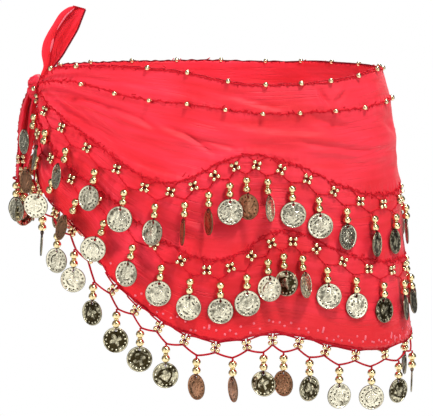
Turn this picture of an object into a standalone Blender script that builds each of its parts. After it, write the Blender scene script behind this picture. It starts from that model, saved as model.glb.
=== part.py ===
"""Belly dance hip scarf, worn and tied over one hip, with nobody in it.

A long red chiffon scarf goes once round the hips and is knotted at the side. Its hem and two
rows on the cloth carry bead flowers and coin dangles on a net of cord.

Frame: +Z up, the origin at the middle of the waist opening, level with the top edge. The wearer
faces -Y. The knot is on the -X side. An angle along the scarf is counted in degrees from the
knot, round the front (180 is the hip opposite) and back along the rear to 360.
"""

import math

import bmesh
import bpy
import numpy as np

MM = 0.001

# All sizes are in mm and angles in degrees, as a maker would note them; MM turns them to metres.
# Hip ring: half axes of its ellipse at the top edge, how much they grow for each mm of drop, and
# the height up to which they go on shrinking above the origin.
HALF_WIDTH = 150.0
HALF_DEPTH = 100.0
FLARE_WIDTH = 0.10
FLARE_DEPTH = 0.08
TOP_REACH = 10.0

# Cloth: wall thickness, the gap at seams, and where each stretch starts beside the knot, in
# degrees, because the two ends part a little towards the hem.
CLOTH = 1.5
SEAM_GAP = 0.3
START_AT_KNOT = 0.15
START_AT_HEM = 2.2
MIDDLE = 180.0
TURN = 360.0

# Heights in mm along the scarf: angle from the knot, top edge in front, top edge at the back,
# line of edge beads, upper flowers, lower flowers, hem.
LINES = np.array([
    (0, -8, -8, -11, -19, -38, -62),
    (12, -4, -2, -9, -24, -45, -70),
    (25, 5, 5, -6, -35, -63, -99),
    (38, 7, 6, -6, -48, -82, -115),
    (50, 8, 6.5, -10, -63, -98, -136),
    (60, 8, 7, -16, -77, -113, -168),
    (70, 5, 7, -20, -92, -133, -190),
    (80, 1, 7.5, -22, -94, -150, -207),
    (90, -3, 7.5, -26, -82, -159, -216),
    (98, -6, 7, -29, -73, -153, -215),
    (106, -7, 6.5, -31, -74, -138, -211),
    (115, -6.5, 6.5, -31, -81, -137, -215),
    (128, -5, 7, -30, -96, -153, -226),
    (142, -1.5, 6, -28.5, -108, -164, -231),
    (158, 3.5, 5, -25, -110, -168, -230),
    (180, 4, 4, -22, -102, -166, -226),
])
TOP_FRONT, TOP_BACK, BEADS, UPPER, LOWER, HEM = range(1, 7)

# The back rides up over the seat: angle from the knot, how far its hem is higher than the front's,
# and the share of that by which the rows on the cloth are higher.
BACK_RISE = np.array([
    (0, 0),
    (12, 3),
    (25, 11),
    (38, 22),
    (50, 28),
    (60, 24),
    (70, 20),
    (80, 18),
    (95, 16),
    (106, 18),
    (120, 23),
    (135, 28),
    (150, 28),
    (162, 18),
    (172, 6),
    (180, 0),
])
RISE_SHARE = {UPPER: 0.8, LOWER: 0.9, HEM: 1.0}

# Angles from the knot of the flowers: unit number, upper row, lower row, hem.
STATIONS = np.array([
    (0, -2, 2, 0),
    (1, 9, 17.5, 12),
    (3, 35, 42, 35),
    (5, 60, 64, 54),
    (7, 77.5, 81, 69),
    (9, 90.5, 95, 83),
    (11, 103, 107, 99),
    (13, 119, 121, 115),
    (15, 139, 141, 134),
    (17, 165, 168, 162.5),
    (18, 180, 180, 180),
])
UNITS = 18

# How each coin hangs, counted from the knot: its turn from lying along the cloth in degrees, far
# edge inwards when positive, for the upper row, lower row and hem; then how many mm the upper and
# lower ones are pushed out by what they hang over.
COINS = np.array([
    (0, 0, 0, 0, 0),
    (15, 11, -18, 7.0, 5.6),
    (-24, 37, -24, 4.4, 5.6),
    (-23, -28, 14, 4.4, 5.6),
    (-12, 20, 26, 4.4, 5.6),
    (12, -16, -13, 4.4, 3.0),
    (-30, 8, 15, 0, 0),
    (-73, -13, 10, 0, 0),
    (-70, 0, 5, 0, 0),
    (0, 0, -47, 5.4, 3.6),
    (-45, -40, -75, 0, 0),
    (-66, -44, -35, 0, 0),
    (-16, -74, -59, 0, 0),
    (-20, -17, 16, 0, 0),
    (10, -6, -3, 0, 0),
    (20, -7, -38, 0, 0),
    (4, 12, -19, 0, 0),
    (8, -14, 10, 0, 0),
])
TURN_COLUMN = {UPPER: 0, LOWER: 1, HEM: 2}
PUSH_COLUMN = {UPPER: 3, LOWER: 4}

# Levels of the wall: the line above, the line below, the share of the way down between them and
# how far the cloth folds out there.
LEVELS = (
    (TOP_FRONT, BEADS, 0.0, 0.0),
    (BEADS, UPPER, 0.0, 0.0),
    (BEADS, UPPER, 0.20, -2.2),
    (BEADS, UPPER, 0.40, 2.0),
    (BEADS, UPPER, 0.60, -2.0),
    (BEADS, UPPER, 0.80, 0.3),
    (UPPER, LOWER, 0.0, 0.0),
    (UPPER, LOWER, 0.35, -1.0),
    (UPPER, LOWER, 0.70, 0.0),
    (LOWER, HEM, 0.0, 0.0),
    (LOWER, HEM, 0.35, -1.0),
    (LOWER, HEM, 0.70, 0.2),
    (LOWER, HEM, 1.0, 0.0),
)

# Strength of the folds along the scarf: they run out of the knot and fade past the front.
FOLD_ANGLES = (0, 14, 35, 75, 95, 120, 150, 180)
FOLD_STRENGTH = (0.0, 0.45, 1.0, 1.0, 0.45, 0.8, 0.6, 0.3)

# Net: cord, bead flowers of four small beads, their gap to the cloth, and how far below the
# flowers the cord comes down to each dangle.
CORD = 1.8
FLOWER = 8.4
FLOWER_THICK = 3.6
FLOWER_NECK = 4.6
ROW_GAP = 0.5
FRINGE_GAP = 0.7
FLOWER_BEADS_AT = (0.3, 0.7)
ROOT_DROP = 7.6
NET_DROP = 4.0

# Dangles: half sizes of the two beads and of the spacer between them, the coin, distances below
# the root, and how far each row's dangles lean towards the knot where it rises steeply.
BEAD_HALF = 2.6
WAIST_HALF = 1.3
COIN = 21.5
COIN_THICK = 1.2
COIN_CHAMFER = math.tan(math.pi / 8)
BEAD_1 = 4.3
WAIST = 8.0
BEAD_2 = 11.6
COIN_TOP = 14.6
ROW_LEAN = {UPPER: 8.0, LOWER: 23.0, HEM: 5.0}

# Sections of a dangle: distance below its root, half width, half thickness, part of the coin
COIN_EDGE = COIN / 2 * COIN_CHAMFER
DANGLE = (
    (BEAD_1, BEAD_HALF, BEAD_HALF, False),
    (WAIST, WAIST_HALF, WAIST_HALF, False),
    (BEAD_2, BEAD_HALF, BEAD_HALF, False),
    (COIN_TOP, COIN_EDGE, COIN_THICK / 2, True),
    (COIN_TOP + COIN / 2 - COIN_EDGE, COIN / 2, COIN_THICK / 2, True),
    (COIN_TOP + COIN / 2 + COIN_EDGE, COIN / 2, COIN_THICK / 2, True),
    (COIN_TOP + COIN, COIN_EDGE, COIN_THICK / 2, True),
)

# Knot: the height of its middle, its half sizes along the ring and up, how far it stands out, and
# the groove between its two turns of cloth. Its rim keeps a share of the reach.
KNOT_HEIGHT = -12.0
KNOT_HALF_LONG = 11.0
KNOT_HALF_TALL = 13.0
KNOT_REACH = 9.5
KNOT_RIM = 0.2
KNOT_GAP = 0.65
KNOT_STEPS = 8
GROOVE_DEPTH = 1.6
GROOVE_WIDTH = 0.25

# Standing tail, seen from the front: x, z, width and curl of its section, from the knot up.
# Pleats are half waves across a tail.
STANDING_PLEATS = 1.5
STANDING_STEPS = 8
HANGING_PLEATS = 4.0
HANGING_STEPS = 12
STANDING = np.array([
    (-147.1, -7.8, 8.5, 3.0),
    (-144.5, 2.0, 9.5, 3.0),
    (-142.0, 12.0, 14.0, 3.4),
    (-138.6, 22.0, 19.0, 3.6),
    (-133.5, 32.0, 21.5, 3.4),
    (-128.0, 42.0, 22.0, 3.0),
    (-122.0, 52.0, 22.0, 2.6),
    (-119.0, 57.0, 22.0, 2.4),
])

# Hanging tail, from the knot down: z, how far it stands off the hips, width, depth of its pleats.
HANGING = np.array([
    (-25.6, 0.9, 10.5, 3.0),
    (-32.0, 1.1, 12.5, 3.8),
    (-42.0, 1.2, 13.5, 4.0),
    (-54.0, 1.3, 13.5, 4.0),
    (-66.0, 1.6, 12.5, 3.6),
    (-78.0, 3.4, 10.5, 3.2),
    (-90.0, 4.0, 9.5, 2.8),
    (-102.0, 3.6, 8.0, 2.4),
    (-113.0, 2.0, 5.0, 1.8),
])

# Cord tied round the hanging tail: x, y, z from the front round to the back, and whether a
# dangle hangs there.
TAIL_TIE = (
    (-163.0, -6.4, -98.0, False),
    (-166.0, -6.4, -97.5, True),
    (-172.0, -10.0, -93.5, True),
    (-177.5, -4.0, -92.0, False),
    (-177.5, 4.0, -92.0, False),
    (-172.0, 10.0, -93.5, True),
    (-166.0, 6.4, -97.5, True),
    (-163.0, 6.4, -98.0, False),
)

CLOTH_RED = (0.86, 0.03, 0.06, 1.0)
COIN_GOLD = (0.83, 0.66, 0.36, 1.0)


def smooth(x, xs, ys):
    """A smooth curve through the points (xs, ys): cubic pieces with central slopes."""
    xs = np.asarray(xs, float)
    ys = np.asarray(ys, float)
    x = np.clip(np.asarray(x, float), xs[0], xs[-1])
    slopes = np.gradient(ys, xs)
    i = np.clip(np.searchsorted(xs, x, side="right") - 1, 0, len(xs) - 2)
    step = xs[i + 1] - xs[i]
    t = (x - xs[i]) / step
    return (
        (1 + 2 * t) * (1 - t) ** 2 * ys[i]
        + t * (1 - t) ** 2 * step * slopes[i]
        + t ** 2 * (3 - 2 * t) * ys[i + 1]
        + t ** 2 * (t - 1) * step * slopes[i + 1]
    )


def fold_back(angle):
    """The angle from the knot on either side: the back is the mirror of the front."""
    angle = np.asarray(angle, float)
    return np.where(angle > MIDDLE, TURN - angle, angle)


def height(line, angle):
    """Height of a line of the scarf at an angle from the knot."""
    angle = np.asarray(angle, float)
    near = fold_back(angle)
    front = smooth(near, LINES[:, 0], LINES[:, line])
    if line == TOP_FRONT:
        return np.where(angle > MIDDLE, smooth(near, LINES[:, 0], LINES[:, TOP_BACK]), front)
    rise = RISE_SHARE.get(line, 0.0) * smooth(near, BACK_RISE[:, 0], BACK_RISE[:, 1])
    return np.where(angle > MIDDLE, front + rise, front)


def station(row, unit):
    """Angle of a flower (whole unit) or dangle (half unit); units past 18 are on the back."""
    unit = np.asarray(unit, float)
    near = np.where(unit > UNITS, 2 * UNITS - unit, unit)
    column = {UPPER: 1, LOWER: 2, HEM: 3}[row]
    angle = smooth(near, STATIONS[:, 0], STATIONS[:, column])
    return np.where(unit > UNITS, TURN - angle, angle)


def levels(angle):
    """Heights and folds of the wall's levels at one angle."""
    strength = np.interp(fold_back(angle), FOLD_ANGLES, FOLD_STRENGTH)
    heights = [
        (1 - share) * height(above, angle) + share * height(below, angle)
        for above, below, share, _ in LEVELS
    ]
    return np.array(heights), np.array([fold for *_, fold in LEVELS]) * strength


def half_axes(z):
    """Half axes of the hip ring at a height."""
    drop = np.maximum(-np.asarray(z, float), -TOP_REACH)
    return HALF_WIDTH + FLARE_WIDTH * drop, HALF_DEPTH + FLARE_DEPTH * drop


def outward(angle, z):
    """Level unit vector out of the ring."""
    phi = np.radians(np.asarray(angle, float) - 90)
    a, b = half_axes(z)
    n = np.stack([np.sin(phi) / a, -np.cos(phi) / b, np.zeros_like(phi * a)], axis=-1)
    return n / np.linalg.norm(n, axis=-1, keepdims=True)


def ring_point(angle, z, out=0.0, flare_from=None):
    """Point of the hip ring at an angle and height, moved out; flare_from hangs it plumb."""
    start = z if flare_from is None else flare_from
    phi = np.radians(np.asarray(angle, float) - 90)
    a, b = half_axes(start)
    point = np.stack([a * np.sin(phi), -b * np.cos(phi), z + 0 * phi], axis=-1)
    return point + np.asarray(out, float)[..., None] * outward(angle, start)


def mm_per_degree(angle, z):
    """Length of one degree along the ring."""
    step = 0.5
    return np.linalg.norm(ring_point(angle + step, z) - ring_point(angle - step, z))


def cloth_point(angle, z, out):
    """Point over the folded cloth, moved out from the middle of its wall."""
    heights, folds = levels(angle)
    fold = np.interp(-z, -heights, folds)
    return ring_point(angle, z, fold + out)


def along(row, unit):
    """Angle, height and slope (radians) of a row's flower line at a unit."""
    step = 0.25
    angle = float(station(row, unit))
    before = float(station(row, max(unit - step, 0)))
    after = float(station(row, min(unit + step, 2 * UNITS)))
    z = float(height(row, angle))
    rise = float(height(row, after)) - float(height(row, before))
    run = (after - before) * mm_per_degree(angle, z)
    return angle, z, math.atan2(rise, run)


def shift(angle, z, slope, across, down):
    """Move along a row by across mm and square to it, downwards, by down mm."""
    side = across * math.cos(slope) + down * math.sin(slope)
    return angle + side / mm_per_degree(angle, z), z + across * math.sin(slope) - down * math.cos(slope)


class Skin:
    """Vertices and four-sided faces of one closed solid, made ring by ring."""

    def __init__(self):
        self.points = []
        self.faces = []

    def ring(self, corners):
        """Add a ring of corners and give their numbers."""
        start = len(self.points)
        self.points.extend(np.asarray(c, float) for c in corners)
        return list(range(start, start + len(corners)))

    def bridge(self, a, b, skip=()):
        """Join two rings by side faces, but for the sides to skip."""
        n = len(a)
        for j in range(n):
            if j not in skip:
                self.faces.append((a[j], a[(j + 1) % n], b[(j + 1) % n], b[j]))

    def cap(self, ring):
        """Close an end."""
        self.faces.append(tuple(ring))


def finish(name, points, faces, colour, metallic, roughness):
    """Make a Blender object of a closed mesh given in mm, with its own material."""
    mesh = bpy.data.meshes.new(name)
    mesh.from_pydata([tuple(np.asarray(p) * MM) for p in points], [], faces)
    work = bmesh.new()
    work.from_mesh(mesh)
    bmesh.ops.triangulate(work, faces=work.faces)
    bmesh.ops.recalc_face_normals(work, faces=work.faces)
    work.to_mesh(mesh)
    work.free()
    material = bpy.data.materials.new(name)
    material.use_nodes = True
    shader = material.node_tree.nodes["Principled BSDF"]
    shader.inputs["Base Color"].default_value = colour
    shader.inputs["Metallic"].default_value = metallic
    shader.inputs["Roughness"].default_value = roughness
    mesh.materials.append(material)
    part = bpy.data.objects.new(name, mesh)
    bpy.context.scene.collection.objects.link(part)
    return part


def wall(name, outer, inner):
    """A closed wall from two matching grids of points, shape (columns, levels, 3)."""
    columns, rows = outer.shape[:2]
    index = np.arange(columns * rows).reshape(columns, rows)
    back = index + columns * rows
    faces = []
    for side in (index, back):
        for i in range(columns - 1):
            for j in range(rows - 1):
                faces.append((side[i, j], side[i + 1, j], side[i + 1, j + 1], side[i, j + 1]))
    rim = [(i, 0) for i in range(columns)] + [(columns - 1, j) for j in range(1, rows)]
    rim += [(i, rows - 1) for i in range(columns - 2, -1, -1)]
    rim += [(0, j) for j in range(rows - 2, 0, -1)]
    for here, there in zip(rim, rim[1:] + rim[:1]):
        faces.append((index[here], index[there], back[there], back[here]))
    points = np.concatenate([outer.reshape(-1, 3), inner.reshape(-1, 3)])
    faces = [tuple(int(v) for v in face) for face in faces]
    return finish(name, points, faces, CLOTH_RED, 0.0, 0.55)


def cloth_columns(back):
    """Angles of the cloth's columns: one at each flower and dangle of the hem."""
    angles = station(HEM, np.arange(0, UNITS + 0.1, 0.5))
    angles[-1] = MIDDLE - math.degrees(SEAM_GAP / 2 / half_axes(0)[1])
    return TURN - angles if back else angles


def stretch(name, back):
    """One stretch of the scarf, from the knot to the hip opposite."""
    sides = []
    for out in (CLOTH / 2, -CLOTH / 2):
        columns = []
        for angle in cloth_columns(back):
            heights, folds = levels(angle)
            if fold_back(angle) == 0:
                share = (heights - heights[0]) / (heights[-1] - heights[0])
                start = START_AT_KNOT + (START_AT_HEM - START_AT_KNOT) * share ** 2
                angle = TURN - start if back else start
            columns.append(ring_point(angle + 0 * heights, heights, folds + out))
        sides.append(np.array(columns))
    return wall(name, *sides)


def strand(skin, root, row, unit, angle, z, hem):
    """Two beads and a coin on a cord, four-sided, from a root quad down."""
    back = unit > UNITS
    near = 2 * UNITS - unit if back else unit
    place = float(fold_back(angle))
    turn = math.radians(COINS[int(near), TURN_COLUMN[row]])
    lean = math.radians(ROW_LEAN[row]) * max(0.0, math.cos(math.radians(place)))
    if back:
        turn, lean = -turn, -lean
    surface = 0.0 if hem else CLOTH / 2 + ROW_GAP
    bead_out = coin_out = 0.0
    if not hem:
        bead_out = surface + BEAD_HALF
        coin_out = surface + COIN_THICK + COINS[int(near), PUSH_COLUMN[row]]
        coin_out += COIN / 2 * abs(math.sin(turn))
    rings = []
    for length, half, thick, is_coin in DANGLE:
        here = angle - length * math.sin(lean) / mm_per_degree(angle, z)
        low = z - length * math.cos(lean)
        out = coin_out if is_coin else bead_out
        twist = turn if is_coin else 0.0
        o = outward(here, low)
        s = np.array([-o[1], o[0], 0.0])
        up = np.array([0.0, 0.0, 1.0])
        side = math.cos(lean) * (math.cos(twist) * s - math.sin(twist) * o) - math.sin(lean) * up
        side /= np.linalg.norm(side)
        face = math.cos(twist) * o + math.sin(twist) * s
        rings.append((ring_point(here, low, out, z if hem else None), side, face, half, thick))
    dangle(skin, root, rings)


def dangle(skin, root, sections):
    """Carry a four-sided strand from a root quad through its sections, and close its end."""
    last = root
    for centre, side, face, half, thick in sections:
        ring = skin.ring([
            centre - half * side + thick * face,
            centre - half * side - thick * face,
            centre + half * side - thick * face,
            centre + half * side + thick * face,
        ])
        skin.bridge(last, ring)
        last = ring
    skin.cap(last)


def row_ring(skin, row, unit, across, down, tall, thick, hem):
    """Four corners of a row's cord or flower, square to the row: up-out, down-out, down-in, up-in."""
    angle, z, slope = along(row, unit)
    middle = 0.0 if hem else CLOTH / 2 + ROW_GAP + thick / 2
    corners = []
    for drop, out in ((-1, 1), (1, 1), (1, -1), (-1, -1)):
        here, low = shift(angle, z, slope, across, down + drop * tall / 2)
        offset = middle + out * thick / 2
        point = ring_point(here, low, offset, z) if hem else cloth_point(here, low, offset)
        corners.append(point)
    return skin.ring(corners)


def coin_row(name, row):
    """A row on the cloth: net cord, flowers, and dangles that hang half way between them."""
    skin = Skin()
    last = None
    for unit in range(1, 2 * UNITS):
        rings = [
            row_ring(skin, row, unit, -FLOWER / 2, 0.0, CORD, CORD, False),
            row_ring(skin, row, unit, 0.0, 0.0, FLOWER, FLOWER_THICK, False),
            row_ring(skin, row, unit, FLOWER / 2, 0.0, CORD, CORD, False),
        ]
        if last is None:
            skin.cap(rings[0])
        else:
            skin.bridge(last, rings[0])
        skin.bridge(rings[0], rings[1])
        skin.bridge(rings[1], rings[2])
        last = rings[2]
        if unit == 2 * UNITS - 1:
            break
        half = unit + 0.5
        left = row_ring(skin, row, half, -CORD / 2, ROOT_DROP, CORD, CORD, False)
        right = row_ring(skin, row, half, CORD / 2, ROOT_DROP, CORD, CORD, False)
        skin.bridge(last, left)
        skin.bridge(left, right, skip=(1,))
        angle, z, slope = along(row, half)
        angle, z = shift(angle, z, slope, 0.0, ROOT_DROP + CORD / 2)
        strand(skin, (left[1], left[2], right[2], right[1]), row, half, angle, z, False)
        last = right
    skin.cap(last)
    return finish(name, skin.points, skin.faces, COIN_GOLD, 1.0, 0.35)


def hem_fringe(name):
    """The hem's net: an edge cord under the cloth, flowers, zigzag cord and coin dangles."""
    skin = Skin()
    edge_down = FRINGE_GAP + CORD / 2
    net_down = edge_down + FLOWER + CORD
    last_edge = last_net = None
    for unit in np.arange(1, 2 * UNITS - 0.9, 0.5):
        if unit == int(unit):
            half = FLOWER_NECK / 2
            edge = [row_ring(skin, HEM, unit, s * half, edge_down, CORD, CORD, True) for s in (-1, 1)]
            net = [row_ring(skin, HEM, unit, s * half, net_down, CORD, CORD, True) for s in (-1, 1)]
            if last_edge is None:
                skin.cap(edge[0])
                skin.cap(net[0])
            else:
                skin.bridge(last_edge, edge[0])
                skin.bridge(last_net, net[0])
            skin.bridge(edge[0], edge[1], skip=(1,))
            skin.bridge(net[0], net[1], skip=(3,))
            flower_block(skin, unit, edge, net, edge_down + CORD / 2)
            last_edge, last_net = edge[1], net[1]
            continue
        root = net_down + NET_DROP
        edge = row_ring(skin, HEM, unit, 0.0, edge_down, CORD, CORD, True)
        left = row_ring(skin, HEM, unit, -CORD / 2, root, CORD, CORD, True)
        right = row_ring(skin, HEM, unit, CORD / 2, root, CORD, CORD, True)
        skin.bridge(last_edge, edge)
        skin.bridge(last_net, left)
        skin.bridge(left, right, skip=(1,))
        angle, z, slope = along(HEM, unit)
        angle, z = shift(angle, z, slope, 0.0, root + CORD / 2)
        strand(skin, (left[1], left[2], right[2], right[1]), HEM, unit, angle, z, True)
        last_edge, last_net = edge, right
    skin.cap(last_edge)
    skin.cap(last_net)
    return finish(name, skin.points, skin.faces, COIN_GOLD, 1.0, 0.35)


def flower_block(skin, unit, edge, net, top):
    """A hem flower: four beads as one block, between the edge cord and the net cord."""
    start = (edge[0][1], edge[0][2], edge[1][2], edge[1][1])
    end = (net[0][0], net[0][3], net[1][3], net[1][0])
    angle, z, slope = along(HEM, unit)
    last = start
    for share in FLOWER_BEADS_AT:
        corners = []
        for side, out in ((-1, 1), (-1, -1), (1, -1), (1, 1)):
            here, low = shift(angle, z, slope, side * FLOWER / 2, top + share * FLOWER)
            corners.append(ring_point(here, low, out * FLOWER_THICK / 2, z))
        ring = skin.ring(corners)
        skin.bridge(last, ring)
        last = ring
    skin.bridge(last, end)


def knot():
    """The knot: a lump over the meeting ends, domed outwards, with a groove across it."""
    steps = np.linspace(-1, 1, KNOT_STEPS + 1)
    s, t = np.meshgrid(steps, steps, indexing="ij")
    # A square grid pulled round into a disc
    along_ring = s * np.sqrt(1 - t ** 2 / 2)
    up = t * np.sqrt(1 - s ** 2 / 2)
    radius = np.clip(along_ring ** 2 + up ** 2, 0, 1)
    angle = KNOT_HALF_LONG * along_ring / mm_per_degree(0.0, KNOT_HEIGHT)
    z = KNOT_HEIGHT + KNOT_HALF_TALL * up
    groove = GROOVE_DEPTH * np.exp(-((along_ring - up) / GROOVE_WIDTH) ** 2)
    dome = (KNOT_REACH - groove) * np.sqrt(1 - (1 - KNOT_RIM ** 2) * radius)
    inside = CLOTH / 2 + KNOT_GAP
    return wall("knot", ring_point(angle, z, inside + dome), ring_point(angle, z, inside + 0 * z))


def pleated(name, x, z, width, depth, pleats, steps):
    """A narrow end of cloth, gathered in pleats, along a line in the plane of the front view."""
    across = np.linspace(-1, 1, steps + 1)[None, :]
    line = np.stack([x, z], axis=-1)
    lengthwise = np.gradient(line, axis=0)
    lengthwise /= np.linalg.norm(lengthwise, axis=-1, keepdims=True)
    half = width[:, None] / 2 * across
    wave = depth[:, None] * np.cos(math.pi * pleats * across / 2)
    middle = np.stack([
        x[:, None] - half * lengthwise[:, 1:],
        wave,
        z[:, None] + half * lengthwise[:, :1],
    ], axis=-1)
    side = np.gradient(middle, axis=1)
    down = np.gradient(middle, axis=0)
    normal = np.cross(side, down)
    normal /= np.linalg.norm(normal, axis=-1, keepdims=True)
    return wall(name, middle + normal * CLOTH / 2, middle - normal * CLOTH / 2)


def standing_tail():
    """The short end, standing up out of the knot and leaning over the hip."""
    x, z, width, depth = STANDING.T
    return pleated("standing_tail", x, z, width, depth, STANDING_PLEATS, STANDING_STEPS)


def hanging_tail():
    """The narrow end, hanging outside the hip from the knot."""
    z, off, width, depth = HANGING.T
    x = -(half_axes(z)[0] + CLOTH / 2 + off + width / 2)
    return pleated("hanging_tail", x, z, width, depth, HANGING_PLEATS, HANGING_STEPS)


def tail_coins():
    """The cord tied round the hanging tail's end, with four coin dangles."""
    skin = Skin()
    last = None
    points = np.array([p[:3] for p in TAIL_TIE])
    courses = np.gradient(points, axis=0)
    for point, course, (*_, holds) in zip(points, courses, TAIL_TIE):
        course = course * (1, 1, 0) / np.linalg.norm(course[:2])
        out = np.array([-course[1], course[0], 0.0])
        up = np.array([0.0, 0.0, 1.0])
        rings = []
        for step in (-CORD / 2, CORD / 2) if holds else (0.0,):
            middle = point + step * course
            rings.append(skin.ring([
                middle + (up + out) * CORD / 2,
                middle + (-up + out) * CORD / 2,
                middle + (-up - out) * CORD / 2,
                middle + (up - out) * CORD / 2,
            ]))
        if last is None:
            skin.cap(rings[0])
        else:
            skin.bridge(last, rings[0])
        if holds:
            left, right = rings
            skin.bridge(left, right, skip=(1,))
            root = point - up * CORD / 2
            dangle(skin, (left[1], left[2], right[2], right[1]), [
                (root - up * length, course, out, half, thick)
                for length, half, thick, _ in DANGLE
            ])
        last = rings[-1]
    skin.cap(last)
    return finish("tail_coins", skin.points, skin.faces, COIN_GOLD, 1.0, 0.35)


def main():
    """Build every piece of the scarf."""
    for old in list(bpy.data.objects):
        bpy.data.objects.remove(old, do_unlink=True)
    stretch("front_stretch", False)
    stretch("back_stretch", True)
    knot()
    standing_tail()
    hanging_tail()
    coin_row("upper_coin_row", UPPER)
    coin_row("lower_coin_row", LOWER)
    hem_fringe("hem_fringe")
    tail_coins()


main()
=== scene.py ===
"""Belly dance hip scarf: coral red chiffon, knotted at one side, with rows of hanging coins.

Sizes are in mm and angles in degrees, as a maker would note them; they turn to metres where a mesh
is made. An angle along the scarf is counted from the knot, round the front (180 is the hip
opposite) and back along the rear to 360. Heights are above the middle of the waist opening.
"""

import math

import bpy
import numpy as np
from bpy.props import FloatProperty, FloatVectorProperty, IntProperty, PointerProperty
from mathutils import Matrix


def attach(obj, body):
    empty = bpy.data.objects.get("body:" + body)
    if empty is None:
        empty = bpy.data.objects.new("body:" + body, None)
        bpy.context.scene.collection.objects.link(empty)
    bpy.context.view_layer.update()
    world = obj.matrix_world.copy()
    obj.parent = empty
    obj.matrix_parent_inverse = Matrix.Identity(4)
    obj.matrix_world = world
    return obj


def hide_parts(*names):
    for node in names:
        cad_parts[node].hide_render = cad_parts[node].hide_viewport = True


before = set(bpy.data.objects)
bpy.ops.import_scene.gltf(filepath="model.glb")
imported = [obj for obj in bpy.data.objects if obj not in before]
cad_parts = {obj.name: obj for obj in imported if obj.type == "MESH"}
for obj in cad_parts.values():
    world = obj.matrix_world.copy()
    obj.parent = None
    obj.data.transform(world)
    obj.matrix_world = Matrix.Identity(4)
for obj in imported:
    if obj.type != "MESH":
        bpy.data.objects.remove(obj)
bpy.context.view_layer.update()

bl_info = {
    "name": "Coin hip scarf",
    "version": (1, 0, 0),
    "blender": (4, 5, 0),
    "location": "3D View > Sidebar > Hip scarf",
    "description": "Dresses the packed hip scarf in chiffon, bead flowers, cords and coins",
    "category": "Object",
}

MM = 0.001
BODY = "root"

# Hip ring, as the solids have it: half axes at the top edge, growth for each mm of drop, and the
# height up to which they go on shrinking above the origin.
HALF_WIDTH = 150.0
HALF_DEPTH = 100.0
FLARE_WIDTH = 0.10
FLARE_DEPTH = 0.08
TOP_REACH = 10.0
MIDDLE = 180.0
TURN = 360.0

# Heights along the scarf: angle from the knot, top edge in front, top edge at the back, line of
# edge beads, upper flowers, lower flowers, hem.
LINES = np.array([
    (0, -8, -8, -11, -19, -38, -62),
    (12, -4, -2, -9, -24, -45, -70),
    (25, 5, 5, -6, -35, -63, -99),
    (38, 7, 6, -6, -48, -82, -115),
    (50, 8, 6.5, -10, -63, -98, -136),
    (60, 8, 7, -16, -77, -113, -168),
    (70, 6.5, 7, -20, -92, -133, -190),
    (80, 4, 7.5, -22, -94, -150, -207),
    (90, -1.5, 7.5, -26, -82, -159, -216),
    (98, -5.5, 7, -29, -73, -153, -215),
    (106, -7, 6.5, -31, -74, -138, -211),
    (115, -6.5, 6.5, -31, -81, -137, -215),
    (128, -5, 7, -30, -96, -153, -226),
    (142, -1.5, 6, -28.5, -108, -164, -231),
    (158, 3.5, 5, -25, -110, -168, -230),
    (180, 4, 4, -22, -102, -166, -226),
])
TOP_FRONT, TOP_BACK, BEADS, UPPER, LOWER, HEM = range(1, 7)

# The back rides up over the seat: angle from the knot, how far its hem is higher than the front's,
# and the share of that by which the rows on the cloth are higher.
BACK_RISE = np.array([
    (0, 0), (12, 3), (25, 11), (38, 22), (50, 28), (60, 24), (70, 20), (80, 18),
    (95, 16), (106, 18), (120, 23), (135, 28), (150, 28), (162, 18), (172, 6), (180, 0),
])
RISE_SHARE = {UPPER: 0.8, LOWER: 0.9, HEM: 1.0}

# Angles of the flowers: unit number, upper row, lower row, hem. Dangles hang at the half units,
# and units past 18 are on the back.
STATIONS = np.array([
    (0, -2, 2, 0),
    (1, 9, 17.5, 12),
    (3, 35, 42, 35),
    (5, 60, 64, 54),
    (7, 77.5, 81, 69),
    (9, 90.5, 95, 83),
    (11, 103, 107, 99),
    (13, 119, 121, 115),
    (15, 139, 141, 134),
    (17, 165, 168, 162.5),
    (18, 180, 180, 180),
])
STATION_COLUMN = {UPPER: 1, LOWER: 2, HEM: 3}
UNITS = 18

# How each coin hangs, by its unit: turn from lying along the cloth (far edge inwards when
# positive) in the upper row, lower row and hem, then mm the upper and lower ones are pushed out,
# then the painted tones of the three rows: 0 bright, 1 in painted shade, 2 with a brownish painted
# reflection.
COINS = np.array([
    (0, 0, 0, 0, 0, 0, 0, 0),
    (13, 9, -18, 7.0, 5.6, 0, 2, 1),
    (-24, 37, -24, 4.4, 5.6, 1, 0, 1),
    (-27, -33, 14, 4.4, 5.6, 0, 2, 0),
    (-12, 20, 26, 4.4, 5.6, 0, 0, 0),
    (12, -16, -13, 4.4, 3.0, 0, 0, 1),
    (-30, 8, 15, 0, 0, 0, 0, 1),
    (-73, -13, 10, 0, 0, 2, 0, 1),
    (-70, 0, 5, 0, 0, 2, 0, 1),
    (0, 0, -47, 5.4, 3.6, 0, 0, 2),
    (-45, -40, -75, 0, 0, 2, 0, 2),
    (56, -44, -35, 0, 0, 0, 1, 1),
    (-16, 43, -59, 0, 0, 0, 0, 2),
    (-20, -17, 16, 0, 0, 0, 0, 1),
    (10, -6, -3, 0, 0, 0, 0, 0),
    (20, -7, -38, 0, 0, 1, 1, 0),
    (4, 12, -19, 0, 0, 1, 1, 1),
    (8, -14, 10, 0, 0, 0, 1, 1),
])
TURN_COLUMN = {UPPER: 0, LOWER: 1, HEM: 2}
PUSH_COLUMN = {UPPER: 3, LOWER: 4}
TONE_COLUMN = {UPPER: 5, LOWER: 6, HEM: 7}
TONE_STEP = 4.0
ROW_LEAN = {UPPER: 8.0, LOWER: 23.0, HEM: 5.0}

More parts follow.
